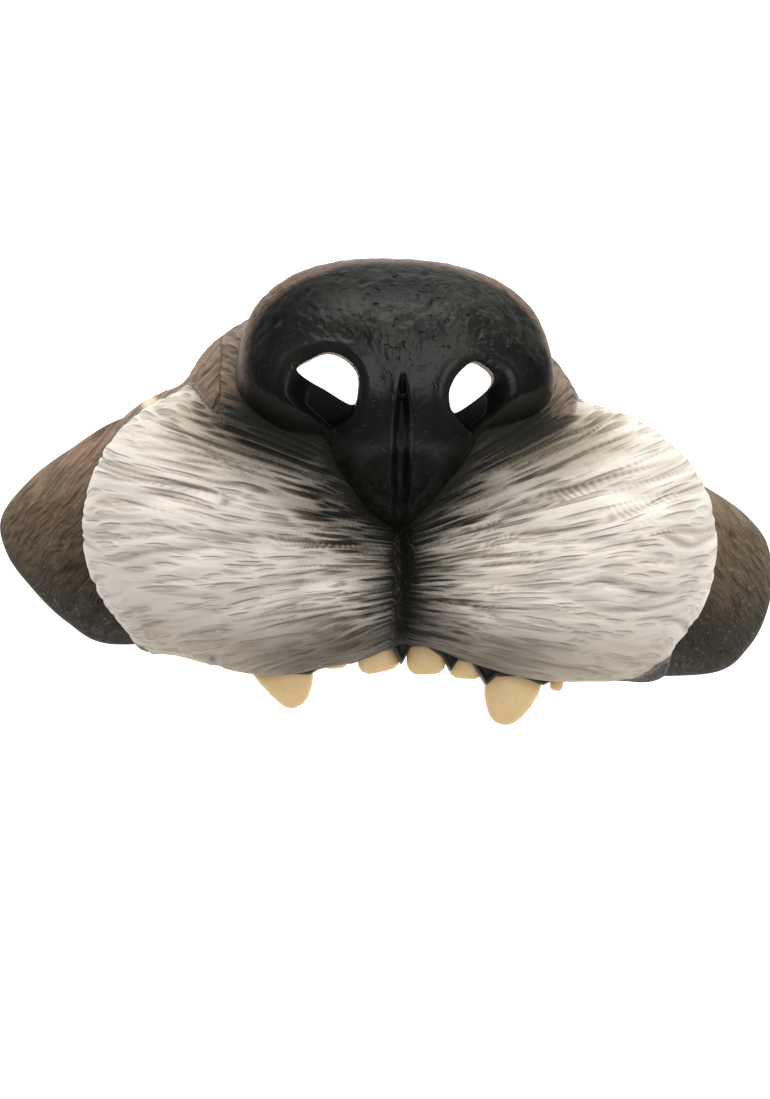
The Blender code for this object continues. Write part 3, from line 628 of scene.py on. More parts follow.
def make_skin():
    """The latex skin with its fur relief, and the fields that its paint follows."""
    turns, grid, share, cut = skin_grid()
    x, y, z = [grid[..., k] * MM for k in range(3)]
    along = path_length(grid)
    gap = border_gap(grid)
    pads = [mass(grid, row) for row in SKIN_MASSES if row[0][:3] in ("pad", "lip")]
    off_pad = (np.min(pads, axis=0) - cut) * MM
    flap = ease((off_pad - 0.3) / 2.2)
    right = ease((x - SPLIT) / 5.0 + 0.5)

    # distance from the dark middle: nose border, then the groove between the pads
    t = np.clip((-y - 7.0) / 31.0, 0.0, 1.0)
    middle = np.hypot(x - (2.8 + 3.0 * t), np.minimum(y + 7.0, 0.0) + 31.0 * t) - (1.4 * t - 1.2)
    near = np.minimum(gap + 9.0 * ease((y - 17.0) / 9.0), middle)

    height = np.zeros(x.shape)
    flow = np.zeros(x.shape + (3,))
    furrow = np.zeros(x.shape)
    reach = np.exp(-(np.maximum(near, 0.0) / 12.0) ** 2)
    for side, weight in (("left", 1.0 - right), ("right", right)):
        u, s = fan_flow(grid, side, along)
        base = 100 if side == "left" else 200
        lump = gradient_noise(u / 2.8, s / 11.0, base + 6)
        lump += 0.5 * gradient_noise(u / 1.6, s / 6.0, base + 7)
        fold = np.maximum(layers(u, s, PAD_FURROWS, base), layers(u, s, CLOSE_FURROWS, base) * reach)
        deep = PAD_DEPTH * (0.45 + 0.55 * ease(near / 14.0))
        height += weight * (lump * PAD_LUMPS - deep * fold)
        furrow += weight * fold
        flow += weight[..., None] * np.stack([u, s, np.full(u.shape, 0.1 * base)], axis=-1)

    # flaps and the sides of the bridge: shorter diagonal strokes
    a = np.where(x < 0.0, radians(52.0), radians(128.0))
    across = x * np.sin(a) - y * np.cos(a)
    stroke_along = x * np.cos(a) + y * np.sin(a) + z
    across = across + 1.2 * gradient_noise(across / 5.0, stroke_along / 7.0, 31)
    lumps = gradient_noise(across / 2.4, stroke_along / 6.0, 34)
    strokes = layers(across, stroke_along, FLAP_FURROWS, 0)
    outer_part = flap * ease((np.abs(x - SPLIT) - 38.0) / 12.0)
    height = height * (1.0 - outer_part) + outer_part * (FLAP_LUMPS * lumps - FLAP_DEPTH * strokes)
    furrow = furrow * (1.0 - outer_part) + outer_part * strokes
    flap_flow = np.stack([across, stroke_along, np.full(x.shape, 33.0)], axis=-1)
    flow = np.where(outer_part[..., None] > 0.5, flap_flow, flow)

    # each pit is sunk a little and gets painted shade inside it
    pit_shade = np.zeros(x.shape)
    for px, py, radius, depth, dark in PITS:
        d = np.hypot(x - px, y - py) / radius
        height -= depth * np.exp(-d * d * 1.4) * (z > 1.0)
        pit_shade = np.maximum(pit_shade, dark * np.exp(-d * d * 1.2))
    rim_fade = ease((1.0 - share) / 0.035)
    height = height * ease(share / 0.02 + 0.2) * rim_fade
    outer = grid + grid_normals(grid) * (np.clip(height, LOWEST, HIGHEST) / MM)[..., None]

    window_in = border_directions(turns, 1.0 - NOSE_LAP)
    rim_in = edge_points(turns, REAR_EDGE)
    way_in = unit(rim_in - CENTRE)
    wall_in = sphere_reach(way_in, skin_field, -SKIN_WALL)
    miss_in = np.linalg.norm(rim_in - CENTRE, axis=-1) - wall_in
    miss_in = miss_in + fold_cut(CENTRE + way_in * wall_in[:, None])
    inner = []
    for t in np.linspace(0.0, 1.0, INNER_RINGS) ** 0.8:
        way = between(window_in, way_in, t) if t < 1.0 else way_in
        r = sphere_reach(way, skin_field, -SKIN_WALL)
        r = r - fold_cut(CENTRE + way * r[:, None]) * ease(t / 0.1)
        r = r + ease((t - EDGE_BLEND) / (1.0 - EDGE_BLEND)) * miss_in
        inner.append(CENTRE + way * r[:, None])
    inner = np.array(inner)[::-1]

    cx, cy, radius = CHIP
    sides = np.maximum(ease((np.abs(x - SPLIT) - 33.0) / 12.0), ease((y - 13.0) / 9.0))
    fields = {}
    for key, values, within in (
        ("near", near, FAR_OFF),
        ("furrow", furrow, 0.0),
        ("pit_shade", pit_shade, 0.0),
        ("off_pad", off_pad * sides, 9.0),
        ("bare", np.exp(-((np.hypot(x - cx, y - cy) / radius) ** 4)), 1.0),
        ("flow", flow, 0.0),
        ("rise", height, 0.0),
    ):
        fields[key] = add_inner(values, len(inner), within)
    return grid_object("fine_skin", np.concatenate([outer, inner]), None, fields)


# ---------------------------------------------------------------- nose

NOSE_TURNS = 560
NOSE_RINGS = 120
NOSE_GROOVE = (26.6, -7.5)     # y of both ends of the middle groove, mm
NOSE_ROUND = 0.78              # share of the way to the border past which the nose rounds over

# Slits between each wing of the nose and the middle: from x, y to x, y, width, depth in mm
SLITS = (
    (-15.6, 15.8, -16.3, 12.0, 1.2, 1.3),
    (17.5, 16.0, 18.4, 12.4, 1.2, 1.3),
)


def nose_cut(p):
    """Depth taken from the nose by the nostril hollows, slits and middle groove, mm."""
    x, y = p[..., 0] * MM, p[..., 1] * MM
    cut = np.zeros(x.shape)
    lift = np.zeros(x.shape)
    side = HOLLOW_SIDE * MM
    for outline in (HOLLOW_LEFT, HOLLOW_RIGHT):
        d = inside(x, y, smooth_outline(outline, 5))
        cut = np.maximum(cut, NOSTRIL_DEPTH * MM * ease(d / side))
        lift = np.maximum(lift, 0.55 * np.exp(-((d + 1.6) / 1.5) ** 2))
    top, low = NOSE_GROOVE
    t = np.clip((top - y) / (top - low), 0.0, 1.0)
    middle = 0.2 + 1.6 * t
    half = 0.5 + 1.25 * ease(t * 3.0) * ease((1.08 - t) / 0.2)
    fade = ease((top + 1.5 - y) / 5.0) * ease((y + 10.0) / 3.0)
    cut = np.maximum(cut, GROOVE_DEPTH * MM * fade * np.exp(-np.abs((x - middle) / half) ** 3))
    lift = lift + 0.35 * fade * np.exp(-((np.abs(x - middle) - half - 1.1) / 0.8) ** 2)
    for x0, y0, x1, y1, width, depth in SLITS:
        dx, dy = x1 - x0, y1 - y0
        t = np.clip(((x - x0) * dx + (y - y0) * dy) / (dx * dx + dy * dy), 0.0, 1.0)
        d = np.hypot(x - x0 - t * dx, y - y0 - t * dy)
        cut = np.maximum(cut, depth * np.exp(-(d / width) ** 2 * 2.0))
    return cut, lift


def make_nose():
    """The black nose as a hollow cap over the skin, and the fields that its paint follows."""
    turns = np.arange(NOSE_TURNS) * 360.0 / NOSE_TURNS
    border = border_directions(turns, 1.0)
    window = border_directions(turns, 1.0 - NOSE_LAP)
    front = unit(size(NOSE_MIDDLE[0], NOSE_MIDDLE[1] + 2.0, 92.0) - CENTRE)[None, :]
    share = 1.0 - (1.0 - np.linspace(0.02, 1.0, NOSE_RINGS)) ** 1.12
    way = np.array([between(front + 0.0 * border, border, t) for t in share])
    seat = sphere_reach(way, skin_field, FIT_GAP)
    bulk = sphere_reach(way, nose_field)
    cut, lift = nose_cut(CENTRE + way * bulk[..., None])
    edge = seat + NOSE_EDGE
    bulk = np.maximum(bulk + (lift - cut) / MM, edge)
    s = np.clip((share - NOSE_ROUND) / (1.0 - NOSE_ROUND), 0.0, 1.0)[:, None]
    r = edge + (bulk - edge) * np.sqrt(1.0 - s * s)
    grid = CENTRE + way * r[..., None]

    x, y = grid[..., 0] * MM, grid[..., 1] * MM
    a = np.arctan2(y - 6.0, x) * 38.0
    d = np.hypot(x, y - 6.0)
    top = ease((y - 27.0) / 9.0)
    grain = gradient_noise(a / 2.1, d / 1.7, 81) + 0.5 * gradient_noise(a / 1.0, d / 0.9, 82)
    pits = np.clip(gradient_noise(a / 2.6, d / 2.2, 83) - 0.28, 0.0, 1.0)
    dimple = np.clip(gradient_noise(x / 4.0, y / 4.0, 84), -1.0, 1.0)
    height = top * (0.16 * grain - 0.9 * pits) + (1.0 - top) * 0.05 * grain + 0.10 * dimple
    height = height * ease((1.0 - share[:, None]) / 0.05) * (cut < 0.3)
    outer = grid + grid_normals(grid) * (height / MM)[..., None]

    inner = []
    for t in (1.0, 0.67, 0.34, 0.0):
        w = between(window, border, t)
        inner.append(CENTRE + w * sphere_reach(w, skin_field, FIT_GAP)[:, None])
    for t in (0.78, 0.52, 0.26):
        w = between(front + 0.0 * window, window, t)
        inner.append(CENTRE + w * sphere_reach(w, skin_field, FIT_GAP)[:, None])
    inner = np.array(inner)
    back = sphere_reach(front, skin_field, FIT_GAP)[0]
    caps = (CENTRE + front[0] * r[0].mean(), CENTRE + front[0] * back)
    hollow = np.clip(cut / (NOSTRIL_DEPTH * MM), 0.0, 1.0)

    inner_side = add_inner(0.0 * hollow, len(inner), 1.0)
    inner_side[len(outer)] = 0.0
    # lighter patch over the top of the nose: wear, and painted highlight where the light falls on the top
    wear_and_highlight = ease(1.45 - np.hypot((x - 5.0) / 21.0, (y - 42.0) / 8.5))
    fields = {
        "hollow": add_inner(hollow, len(inner), 1.0),
        "rim": add_inner(-border_gap(grid), len(inner), 30.0),
        "top": add_inner(wear_and_highlight, len(inner), 0.0),
        "inner_side": inner_side,
    }
    nose = grid_object("fine_nose", np.concatenate([outer, inner]), caps, fields)
    for name, outline in (("hole_left", OPENING_LEFT), ("hole_right", OPENING_RIGHT)):
        cut_by(nose, prism(name, outline, 55.0, 112.0))
    return nose


def cut_by(obj, cutter):
    """Boolean difference taken at once; the cutter is removed."""
    change = obj.modifiers.new(cutter.name, "BOOLEAN")
    change.operation = "DIFFERENCE"
    change.solver = "EXACT"
    change.object = cutter
    with bpy.context.temp_override(object=obj, active_object=obj, selected_objects=[obj]):
        bpy.ops.object.modifier_apply(modifier=change.name)
    bpy.data.objects.remove(cutter)
    obj.data.shade_smooth()
    obj.data.set_sharp_from_angle(angle=0.8)


def smooth_outline(outline, steps):
    """Closed smooth curve through the points of an outline."""
    points = np.array(outline, float)
    n = len(points)
    out = []
    for i in range(n):
        a, b, c, d = points[i - 1], points[i], points[(i + 1) % n], points[(i + 2) % n]
        for t in np.arange(steps) / steps:
            out.append(0.5 * ((2 * b) + (c - a) * t + (2 * a - 5 * b + 4 * c - d) * t * t
                              + (3 * b - 3 * c + d - a) * t ** 3))
    return out


def prism(name, outline, low, high):
    """Straight cutter with a smooth outline seen from the front."""
    points = np.array(outline, float)
    out = smooth_outline(outline, 6)
    rings = np.array([[size(px, py, z) for px, py in out] for z in (low, high)])
    middle = points.mean(axis=0)
    return grid_object(name, rings, (size(middle[0], middle[1], low), size(middle[0], middle[1], high)))


# ---------------------------------------------------------------- gum and teeth

def tooth(name, row, grow):
    """Tooth, or with grow its socket: rings along a bowed line from root to tip."""
    _, root_x, root_y, tip_x, tip_y, width, bow, kind = row
    thick = FANG_THICK if kind == "fang" else INCISOR_THICK
    taper = np.array(FANG_TAPER if kind == "fang" else INCISOR_TAPER)
    start, end = size(root_x, root_y, 0.0)[:2], size(tip_x, tip_y, 0.0)[:2]
    half_w = 0.5 * width * SIDE_REACH / 100.0
    z = seat_height(start[0], half_w) - FIT_GAP - 0.5 * GUM_THICK
    line = end - start
    length = np.linalg.norm(line)
    line = line / length
    side = np.array([-line[1], line[0]])
    top = start - line * (ROOT_LENGTH + grow)
    last = taper[-1, 0]
    rings = []
    round_tip = 1.0 - (1.0 - last) * np.array([0.7, 0.4, 0.18])
    stations = np.concatenate([[-1.0], np.linspace(0.0, last, 26), round_tip])
    for t in stations:
        wide = taper[0, 1] * 0.86 if t < 0.0 else np.interp(t, taper[:, 0], taper[:, 1])
        if t > last:
            wide = taper[-1, 1] * np.sqrt(1.0 - ((t - last) / (1.0 - last)) ** 2)
        middle = top if t < 0.0 else start + line * length * t
        middle = middle + side * bow * SIDE_REACH / 100.0 * np.sin(pi * max(t, 0.0))
        depth = wide if kind == "fang" else wide * (1.0 - 0.45 * max(t, 0.0))
        a = np.arange(40) * pi / 20.0
        u = np.sign(np.cos(a)) * np.abs(np.cos(a)) ** 0.85 * (half_w * wide + grow)
        v = np.sign(np.sin(a)) * np.abs(np.sin(a)) ** 0.85 * (0.5 * thick * depth + grow)
        rings.append(np.stack([middle[0] + side[0] * u, middle[1] + side[1] * u, z - v], axis=-1))
    tip = end + line * grow
    rings = np.array(rings)
    down = np.repeat(stations[:, None], 40, axis=1)
    return grid_object(name, rings, ((top[0], top[1], z), (tip[0], tip[1], z)), {"down": down})


def make_gum():
    """The gum strip behind the lip's edge, with a socket cut for each tooth."""
    table = np.array(GUM, float)
    last = len(table) - 1
    xs = np.interp(np.linspace(0, last, 6 * last + 1), np.arange(last + 1), table[:, 0])
    rings = []
    for i, x in enumerate(xs):
        hang = max(np.interp(x, table[:, 0], table[:, 1]) - 0.8, 0.0) * MUZZLE_HEIGHT / 100.0
        here = x * SIDE_REACH / 100.0
        y, _ = lip_edge(here)
        z = seat_height(here, 0.6 * SKIN_WALL)
        end = 0.72 if i in (0, len(xs) - 1) else 1.0
        front, back = z - FIT_GAP, z - FIT_GAP - GUM_THICK
        middle_y, middle_z = y + 0.5 * (GUM_RISE - hang), 0.5 * (front + back)
        half_y, half_z = 0.5 * (GUM_RISE + hang) * end, 0.5 * GUM_THICK * end
        a = np.arange(24) * pi / 12.0
        u = np.sign(np.cos(a)) * np.abs(np.cos(a)) ** 0.45 * half_y * 0.985
        v = np.sign(np.sin(a)) * np.abs(np.sin(a)) ** 0.45 * half_z * 0.985
        rings.append(np.stack([np.full(24, here), middle_y + u, middle_z + v], axis=-1))
    rings = np.array(rings)
    gum = grid_object("fine_gum", rings, (rings[0].mean(axis=0), rings[-1].mean(axis=0)))
    for row in TEETH:
        cut_by(gum, tooth("socket_" + row[0], row, FIT_GAP))
    return gum


# ---------------------------------------------------------------- materials

# Painted colours, 0 to 255 as seen
PAINTS = {
    "cream_left": (226, 217, 206), "cream_right": (238, 229, 216), "cream_cloud": (206, 200, 192),
    "cream_strand": (198, 186, 166), "cream_low_band_and_shade": (158, 141, 113), "cream_furrow": (122, 108, 90),
    "lip": (82, 76, 62), "cream_shade": (140, 126, 100), "flap_low": (54, 49, 36),
    "flap_high": (122, 103, 81), "flap_pink": (152, 120, 99), "flap_strand": (48, 43, 31),
    "flap_dust": (178, 156, 130), "flap_furrow": (38, 34, 24), "border_line": (44, 40, 30),
    "olive_haze": (104, 94, 72), "airbrush": (32, 32, 26), "drybrush_and_highlight": (146, 138, 116),
    "pit_shade_paint": (40, 36, 28), "raw_pale": (236, 218, 196), "raw_deep": (216, 196, 170),
    "nose_dark": (11, 14, 12), "nose_light": (21, 23, 19), "nose_worn_and_highlight": (60, 56, 43),
    "nose_low": (50, 50, 40), "nose_rim": (104, 82, 66), "nostril": (7, 9, 9),
    "nose_inside": (220, 202, 178), "gum_dark": (10, 11, 10), "gum_light": (22, 20, 17),
    "tooth_pale": (248, 214, 160), "tooth_deep": (238, 202, 146), "tooth_root": (168, 132, 84),
    "tooth_grain": (150, 118, 76), "floor_low": (250, 250, 250), "floor_high": (254, 254, 254),
}


def paint(name):
    """Shader values of a painted colour."""
    out = []
    for c in PAINTS[name]:
        c = c / 255.0
        out.append(c / 12.92 if c <= 0.04045 else ((c + 0.055) / 1.055) ** 2.4)
    return tuple(out) + (1.0,)


class Mat:
    """Small helper for node materials."""

    def __init__(self, name):
        self.material = bpy.data.materials.new(name)
        self.material.use_nodes = True
        self.tree = self.material.node_tree
        self.shader = self.tree.nodes["Principled BSDF"]

    def node(self, kind, **values):
        node = self.tree.nodes.new("ShaderNode" + kind)
        for key, value in values.items():
            setattr(node, key, value)
        return node

    def link(self, a, b):
        self.tree.links.new(a, b)

    def put(self, node, **values):
        """Set sockets of a node to numbers, or link them."""
        for key, value in values.items():
            socket = node.inputs[int(key[1:]) if key[1:].isdigit() else key.replace("_", " ")]
            if isinstance(value, (int, float, tuple)):
                socket.default_value = value
            else:
                self.link(value, socket)

    def surface(self, **values):
        self.put(self.shader, **values)

    def field(self, name, vector=False):
        node = self.node("Attribute", attribute_name=name)
        return node.outputs["Vector" if vector else "Fac"]

    def math(self, operation, a, b=0.0):
        node = self.node("Math", operation=operation)
        self.put(node, _0=a, _1=b)
        return node.outputs[0]

    def plus(self, a, b):
        return self.math("ADD", a, b)

    def minus(self, a, b):
        return self.math("SUBTRACT", a, b)

    def times(self, a, b):
        return self.math("MULTIPLY", a, b)

    def most(self, a, b):
        return self.math("MAXIMUM", a, b)

    def ramp(self, value, low, high, out_low=0.0, out_high=1.0):
        """Smooth step from out_low at low to out_high at high."""
        node = self.node("MapRange", interpolation_type="SMOOTHSTEP")
        self.put(node, Value=value, From_Min=low, From_Max=high, To_Min=out_low, To_Max=out_high)
        return node.outputs[0]

    def mix(self, share, a, b):
        node = self.node("Mix", data_type="RGBA")
        self.put(node, _0=share, _6=a, _7=b)
        return node.outputs[2]

    def where(self, scale=(1.0, 1.0, 1.0), source=None):
        """Place on the piece, or another vector, scaled."""
        if source is None:
            source = self.node("TexCoord").outputs["Object"]
        node = self.node("Mapping")
        self.put(node, Vector=source, Scale=scale)
        return node.outputs[0]

    def axes(self, vector):
        node = self.node("SeparateXYZ")
        self.link(vector, node.inputs[0])
        return node.outputs["X"], node.outputs["Y"]

    def noise(self, vector, scale, detail=3.0, rough=0.55):
        node = self.node("TexNoise")
        self.put(node, Vector=vector, Scale=scale, Detail=detail, Roughness=rough)
        return node.outputs["Fac"]

    def dash(self, source, across, along, radius):
        """Short strokes along the flow, one to a cell of a given size."""
        cells = self.node("TexVoronoi", voronoi_dimensions="2D", feature="F1")
        self.put(cells, Vector=self.where((1.0 / across, 1.0 / along, 1.0), source), Scale=1.0)
        return self.ramp(cells.outputs["Distance"], radius, 0.4 * radius)

    def bump(self, height, strength, distance, before=None):
        node = self.node("Bump")
        self.put(node, Strength=strength, Distance=distance, Height=height)
        if before is not None:
            self.put(node, Normal=before)
        return node.outputs[0]


def skin_material():
    m = Mat("painted_latex")
    near = m.field("near")
    off_pad, pit_shade, bare = m.field("off_pad"), m.field("pit_shade"), m.field("bare")
    flow = m.field("flow", vector=True)
    patch = m.noise(m.where((0.16, 0.07, 1.0), flow), 1.0, 2.0)
    long_dash = m.times(m.dash(flow, 2.1, 17.0, 0.36), m.ramp(patch, 0.40, 0.58))
    short_dash = m.times(m.dash(flow, 1.3, 8.0, 0.40), m.ramp(patch, 0.60, 0.44, 0.0, 0.7))
    dashes = m.most(long_dash, short_dash)
    # darker paint along the furrows: partly a real dark wash, partly painted shade standing in for the
    # shade in the creases
    carved = m.times(m.ramp(m.field("furrow"), 0.12, 0.80), m.ramp(near, 3.0, 17.0, 0.15, 1.0))
    wash_and_crease_shade = m.most(carved, m.times(dashes, m.ramp(near, 26.0, 8.0, 0.5, 0.9)))
    place = m.where()
    x, y = m.axes(place)

    hair = m.noise(m.where((0.55, 0.075, 1.0), flow), 1.0, 4.0, 0.6)
    strand = m.noise(m.where((1.6, 0.16, 1.0), flow), 1.0, 3.0, 0.6)
    grain = m.noise(place, 900.0, 3.0, 0.6)
    cloud = m.noise(place, 55.0, 3.0, 0.5)
    speck = m.noise(place, 2300.0, 2.0, 0.6)

    # cream pads, a little greyer on the viewer's left; darker towards the bottom, a painted band that is
    # partly painted shade under the pads
    cream = m.mix(m.ramp(x, -0.03, 0.03), paint("cream_left"), paint("cream_right"))
    cream = m.mix(m.ramp(cloud, 0.35, 0.7, 0.0, 0.35), cream, paint("cream_cloud"))
    cream = m.mix(m.ramp(m.plus(hair, m.times(cloud, 0.3)), 0.62, 0.86, 0.0, 0.45), cream,
                  paint("cream_strand"))
    low = m.plus(y, m.times(m.minus(cloud, 0.5), 0.012))
    cream = m.mix(m.ramp(low, -0.026, -0.042, 0.0, 0.60), cream, paint("cream_low_band_and_shade"))
    # furrows on the pads darkened: wash and painted crease shade
    cream = m.mix(m.times(wash_and_crease_shade, m.ramp(near, 45.0, 8.0, 0.50, 0.85)), cream, paint("cream_furrow"))
    # darker still along the middle of the lower lip: painted band and painted shade under the lip
    lip = m.times(m.ramp(low, -0.026, -0.038), m.ramp(m.math("ABSOLUTE", x), 0.050, 0.012, 0.0, 0.9))
    cream = m.mix(lip, cream, paint("lip"))

    # olive shade over the top of each pad beside the nose
    shade = m.times(m.ramp(m.minus(near, m.times(grain, 14.0)), 24.0, 2.0),
                   m.ramp(y, 0.000, 0.012, 0.0, 0.55))
    cream = m.mix(shade, cream, paint("cream_shade"))

    # brown-grey flaps: pinkish along the upper edge, dark olive low down
    brown = m.mix(m.ramp(m.plus(y, m.times(cloud, 0.02)), -0.024, 0.010), paint("flap_low"),
                  paint("flap_high"))
    brown = m.mix(m.ramp(m.plus(y, m.times(hair, 0.018)), 0.004, 0.022, 0.0, 0.75), brown,
                  paint("flap_pink"))
    brown = m.mix(m.ramp(strand, 0.40, 0.62, 0.0, 0.55), brown, paint("flap_strand"))
    brown = m.mix(m.ramp(grain, 0.56, 0.76, 0.0, 0.35), brown, paint("flap_dust"))
    # furrows on the flaps darkened: wash and painted crease shade
    brown = m.mix(m.times(wash_and_crease_shade, 0.50), brown, paint("flap_furrow"))

    # ragged boundary of the cream, with a speckled dark line
    ragged = m.times(off_pad, m.plus(0.25, m.times(m.plus(cloud, grain), 0.75)))
    colour = m.mix(m.ramp(ragged, 0.9, 2.4), cream, brown)
    line = m.times(m.ramp(ragged, 0.8, 1.5), m.ramp(ragged, 4.2, 1.8))
    line = m.times(line, m.ramp(speck, 0.42, 0.60, 0.0, 0.8))
    colour = m.mix(line, colour, paint("border_line"))

    # dark airbrush round the nose and down the groove, drawn out along the furrows
    reach = m.minus(near, m.times(m.minus(hair, 0.5), 15.0))
    reach = m.minus(reach, m.times(wash_and_crease_shade, 8.0))
    reach = m.minus(reach, m.times(m.minus(speck, 0.5), 6.0))
    olive = m.ramp(reach, 22.0, 6.0, 0.0, 0.62)
    colour = m.mix(olive, colour, paint("olive_haze"))
    colour = m.mix(m.ramp(reach, 12.5, 0.8), colour, paint("airbrush"))
    # lighter paint on the raised ridges near the airbrush: real dry-brushing and painted highlight where
    # the ridges catch the light
    drybrush_and_highlight = m.times(m.ramp(m.field("rise"), -0.05, 0.22), m.ramp(grain, 0.46, 0.64))
    drybrush_and_highlight = m.times(drybrush_and_highlight, m.ramp(near, 2.0, 9.0, 0.03, 0.42))
    colour = m.mix(m.times(drybrush_and_highlight, m.ramp(near, 22.0, 8.0)), colour, paint("drybrush_and_highlight"))
    # painted shade in the small pits
    colour = m.mix(m.times(pit_shade, m.ramp(grain, 0.3, 0.5, 0.6, 1.0)), colour, paint("pit_shade_paint"))
    raw = m.mix(m.ramp(cloud, 0.3, 0.75), paint("raw_pale"), paint("raw_deep"))
    colour = m.mix(bare, colour, raw)

    m.surface(Base_Color=colour)
    m.surface(Roughness=m.ramp(hair, 0.3, 0.8, 0.62, 0.78))
    m.surface(Specular_IOR_Level=0.26)
    first = m.bump(m.times(dashes, -1.0), 0.9, 0.0006)
    second = m.bump(m.plus(strand, m.times(hair, 0.8)), 0.4, 0.0005, first)
    m.surface(Normal=m.bump(grain, 0.3, 0.00025, second))
    return m.material


def nose_material():
    m = Mat("black_paint")
    hollow, rim, top = m.field("hollow"), m.field("rim"), m.field("top")
    place = m.where()
    _, y = m.axes(place)
    grain = m.noise(place, 700.0, 3.0, 0.6)
    cloud = m.noise(place, 90.0, 3.0, 0.5)
    pits = m.noise(place, 480.0, 2.0, 0.5)
    black = m.mix(m.ramp(cloud, 0.35, 0.7), paint("nose_dark"), paint("nose_light"))
    # lighter patch on the top of the nose: wear and painted highlight
    wear_and_highlight = m.times(top, m.ramp(m.plus(cloud, m.times(grain, 0.5)), 0.62, 0.9, 0.0, 0.6))
    black = m.mix(wear_and_highlight, black, paint("nose_worn_and_highlight"))
    low = m.times(m.ramp(y, 0.012, -0.004), m.ramp(grain, 0.45, 0.7, 0.0, 0.4))
    black = m.mix(low, black, paint("nose_low"))
    edge = m.times(m.ramp(m.minus(rim, m.times(cloud, 2.5)), 1.0, -1.0),
                  m.ramp(y, 0.018, 0.036))
    black = m.mix(m.times(edge, m.ramp(grain, 0.3, 0.6, 0.3, 0.9)), black, paint("nose_rim"))
    # painted shade in the nostril hollows, darker than the black paint
    black = m.mix(m.times(hollow, 0.75), black, paint("nostril"))
    back = m.field("inner_side")
    black = m.mix(back, black, paint("nose_inside"))
    m.surface(Base_Color=black)
    m.surface(Roughness=m.ramp(m.plus(cloud, m.times(top, 0.3)), 0.4, 1.0, 0.33, 0.46))
    m.surface(Specular_IOR_Level=m.ramp(rim, 1.0, 13.0, 0.02, 0.24))
    pocks = m.times(m.ramp(pits, 0.60, 0.74), m.plus(m.times(top, 0.8), 0.12))
    bumps = m.times(m.noise(place, 330.0, 2.0, 0.5), m.plus(m.times(top, 0.8), 0.1))
    first = m.bump(m.minus(bumps, pocks), 0.9, 0.0009)
    m.surface(Normal=m.bump(grain, 0.2, 0.00022, first))
    return m.material


def gum_material():
    m = Mat("black_gum")
    place = m.where()
    cloud = m.noise(place, 160.0, 3.0, 0.5)
    m.surface(Base_Color=m.mix(m.ramp(cloud, 0.35, 0.7), paint("gum_dark"), paint("gum_light")))
    m.surface(Roughness=m.ramp(cloud, 0.3, 0.8, 0.36, 0.5))
    m.surface(Specular_IOR_Level=0.2)
    m.surface(Normal=m.bump(cloud, 0.3, 0.0006))
    return m.material


def tooth_material():
    m = Mat("tooth_paint")
    down = m.field("down")
    place = m.where()
    cloud = m.noise(place, 140.0, 3.0, 0.5)
    grain = m.noise(place, 1500.0, 2.0, 0.5)
    tan = m.mix(m.ramp(cloud, 0.3, 0.75), paint("tooth_pale"), paint("tooth_deep"))
    tan = m.mix(m.ramp(down, 0.30, 0.0, 0.0, 0.55), tan, paint("tooth_root"))
    tan = m.mix(m.ramp(grain, 0.6, 0.8, 0.0, 0.3), tan, paint("tooth_grain"))
    m.surface(Base_Color=tan)
    m.surface(Roughness=m.ramp(cloud, 0.3, 0.8, 0.40, 0.55))
    m.surface(Normal=m.bump(cloud, 0.2, 0.0005))
    return m.material


def floor_material():
    m = Mat("pale_floor")
    place = m.where()
    cloud = m.noise(place, 3.0, 2.0, 0.5)
    m.surface(Base_Color=m.mix(cloud, paint("floor_low"), paint("floor_high")))
    m.surface(Roughness=0.9)
    m.surface(Emission_Color=(1.0, 1.0, 1.0, 1.0))
    m.surface(Emission_Strength=0.75)
    return m.material


# ---------------------------------------------------------------- assembly

def finish_piece(obj, node, material):
    obj.data.materials.clear()
    obj.data.materials.append(material)
    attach(obj, "root")
    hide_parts(node)


finish_piece(make_skin(), "muzzle_skin", skin_material())
finish_piece(make_nose(), "nose_pad", nose_material())
finish_piece(make_gum(), "gum_strip", gum_material())
enamel = tooth_material()
for tooth_row in TEETH:
    finish_piece(tooth("fine_" + tooth_row[0], tooth_row, 0.0), tooth_row[0], enamel)

# ---------------------------------------------------------------- stage, light and camera

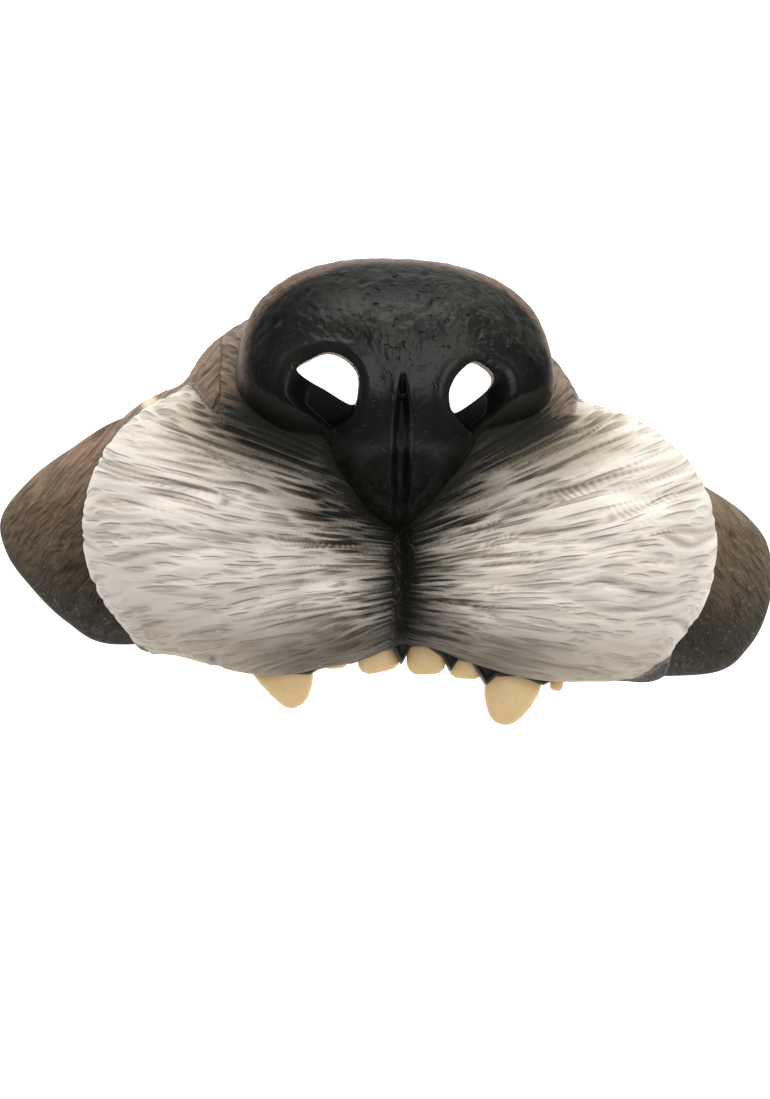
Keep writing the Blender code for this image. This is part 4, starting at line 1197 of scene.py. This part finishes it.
bpy.ops.mesh.primitive_plane_add(size=6.0, location=(0.0, 0.0, -0.0002))
floor = bpy.context.object
floor.name = "floor"
floor.data.materials.append(floor_material())

world = bpy.data.worlds.new("studio")
bpy.context.scene.world = world
world.use_nodes = True
world.node_tree.nodes["Background"].inputs["Color"].default_value = (1.0, 1.0, 1.0, 1.0)
world.node_tree.nodes["Background"].inputs["Strength"].default_value = 0.32

# name, place, aim, width, height, watts
LIGHTS = (
    ("key", (-0.10, 1.00, 0.60), (0.0, 0.0, 0.04), 1.1, 0.6, 10.0),
    ("fill", (0.30, 0.10, 1.25), (0.0, 0.0, 0.04), 0.9, 0.9, 8.0),
)
for name, place, aim, width, tall, watts in LIGHTS:
    lamp = bpy.data.lights.new(name, "AREA")
    lamp.shape = "RECTANGLE"
    lamp.size, lamp.size_y, lamp.energy = width, tall, watts
    holder = bpy.data.objects.new(name, lamp)
    bpy.context.scene.collection.objects.link(holder)
    holder.location = place
    holder.rotation_euler = (Vector(aim) - Vector(place)).to_track_quat("-Z", "Y").to_euler()

YAW, ROLL = radians(3.0), radians(2.0)
DISTANCE = 0.760
FOCUS, ROWS, SENSOR = 3188.0, 1099.0, 24.0      # focal length and height of the view in rows, sensor in mm
AIM = Vector((-0.003104, -0.013076, 0.040))
back = Vector((-sin(YAW), 0.0, cos(YAW)))
upward = Vector((0.0, 1.0, 0.0))
across = upward.cross(back)
right = across * cos(ROLL) + upward * sin(ROLL)
up = back.cross(right)
camera_data = bpy.data.cameras.new("camera")
camera_data.sensor_fit = "VERTICAL"
camera_data.sensor_height = SENSOR
camera_data.lens = SENSOR * FOCUS / ROWS
camera_data.clip_start = 0.01
camera = bpy.data.objects.new("camera", camera_data)
bpy.context.scene.collection.objects.link(camera)
place = AIM + back * DISTANCE
camera.matrix_world = Matrix(((right.x, up.x, back.x, place.x), (right.y, up.y, back.y, place.y),
                              (right.z, up.z, back.z, place.z), (0.0, 0.0, 0.0, 1.0)))
bpy.context.scene.camera = camera
bpy.context.scene.view_settings.view_transform = "Standard"

bpy.context.view_layer.update()
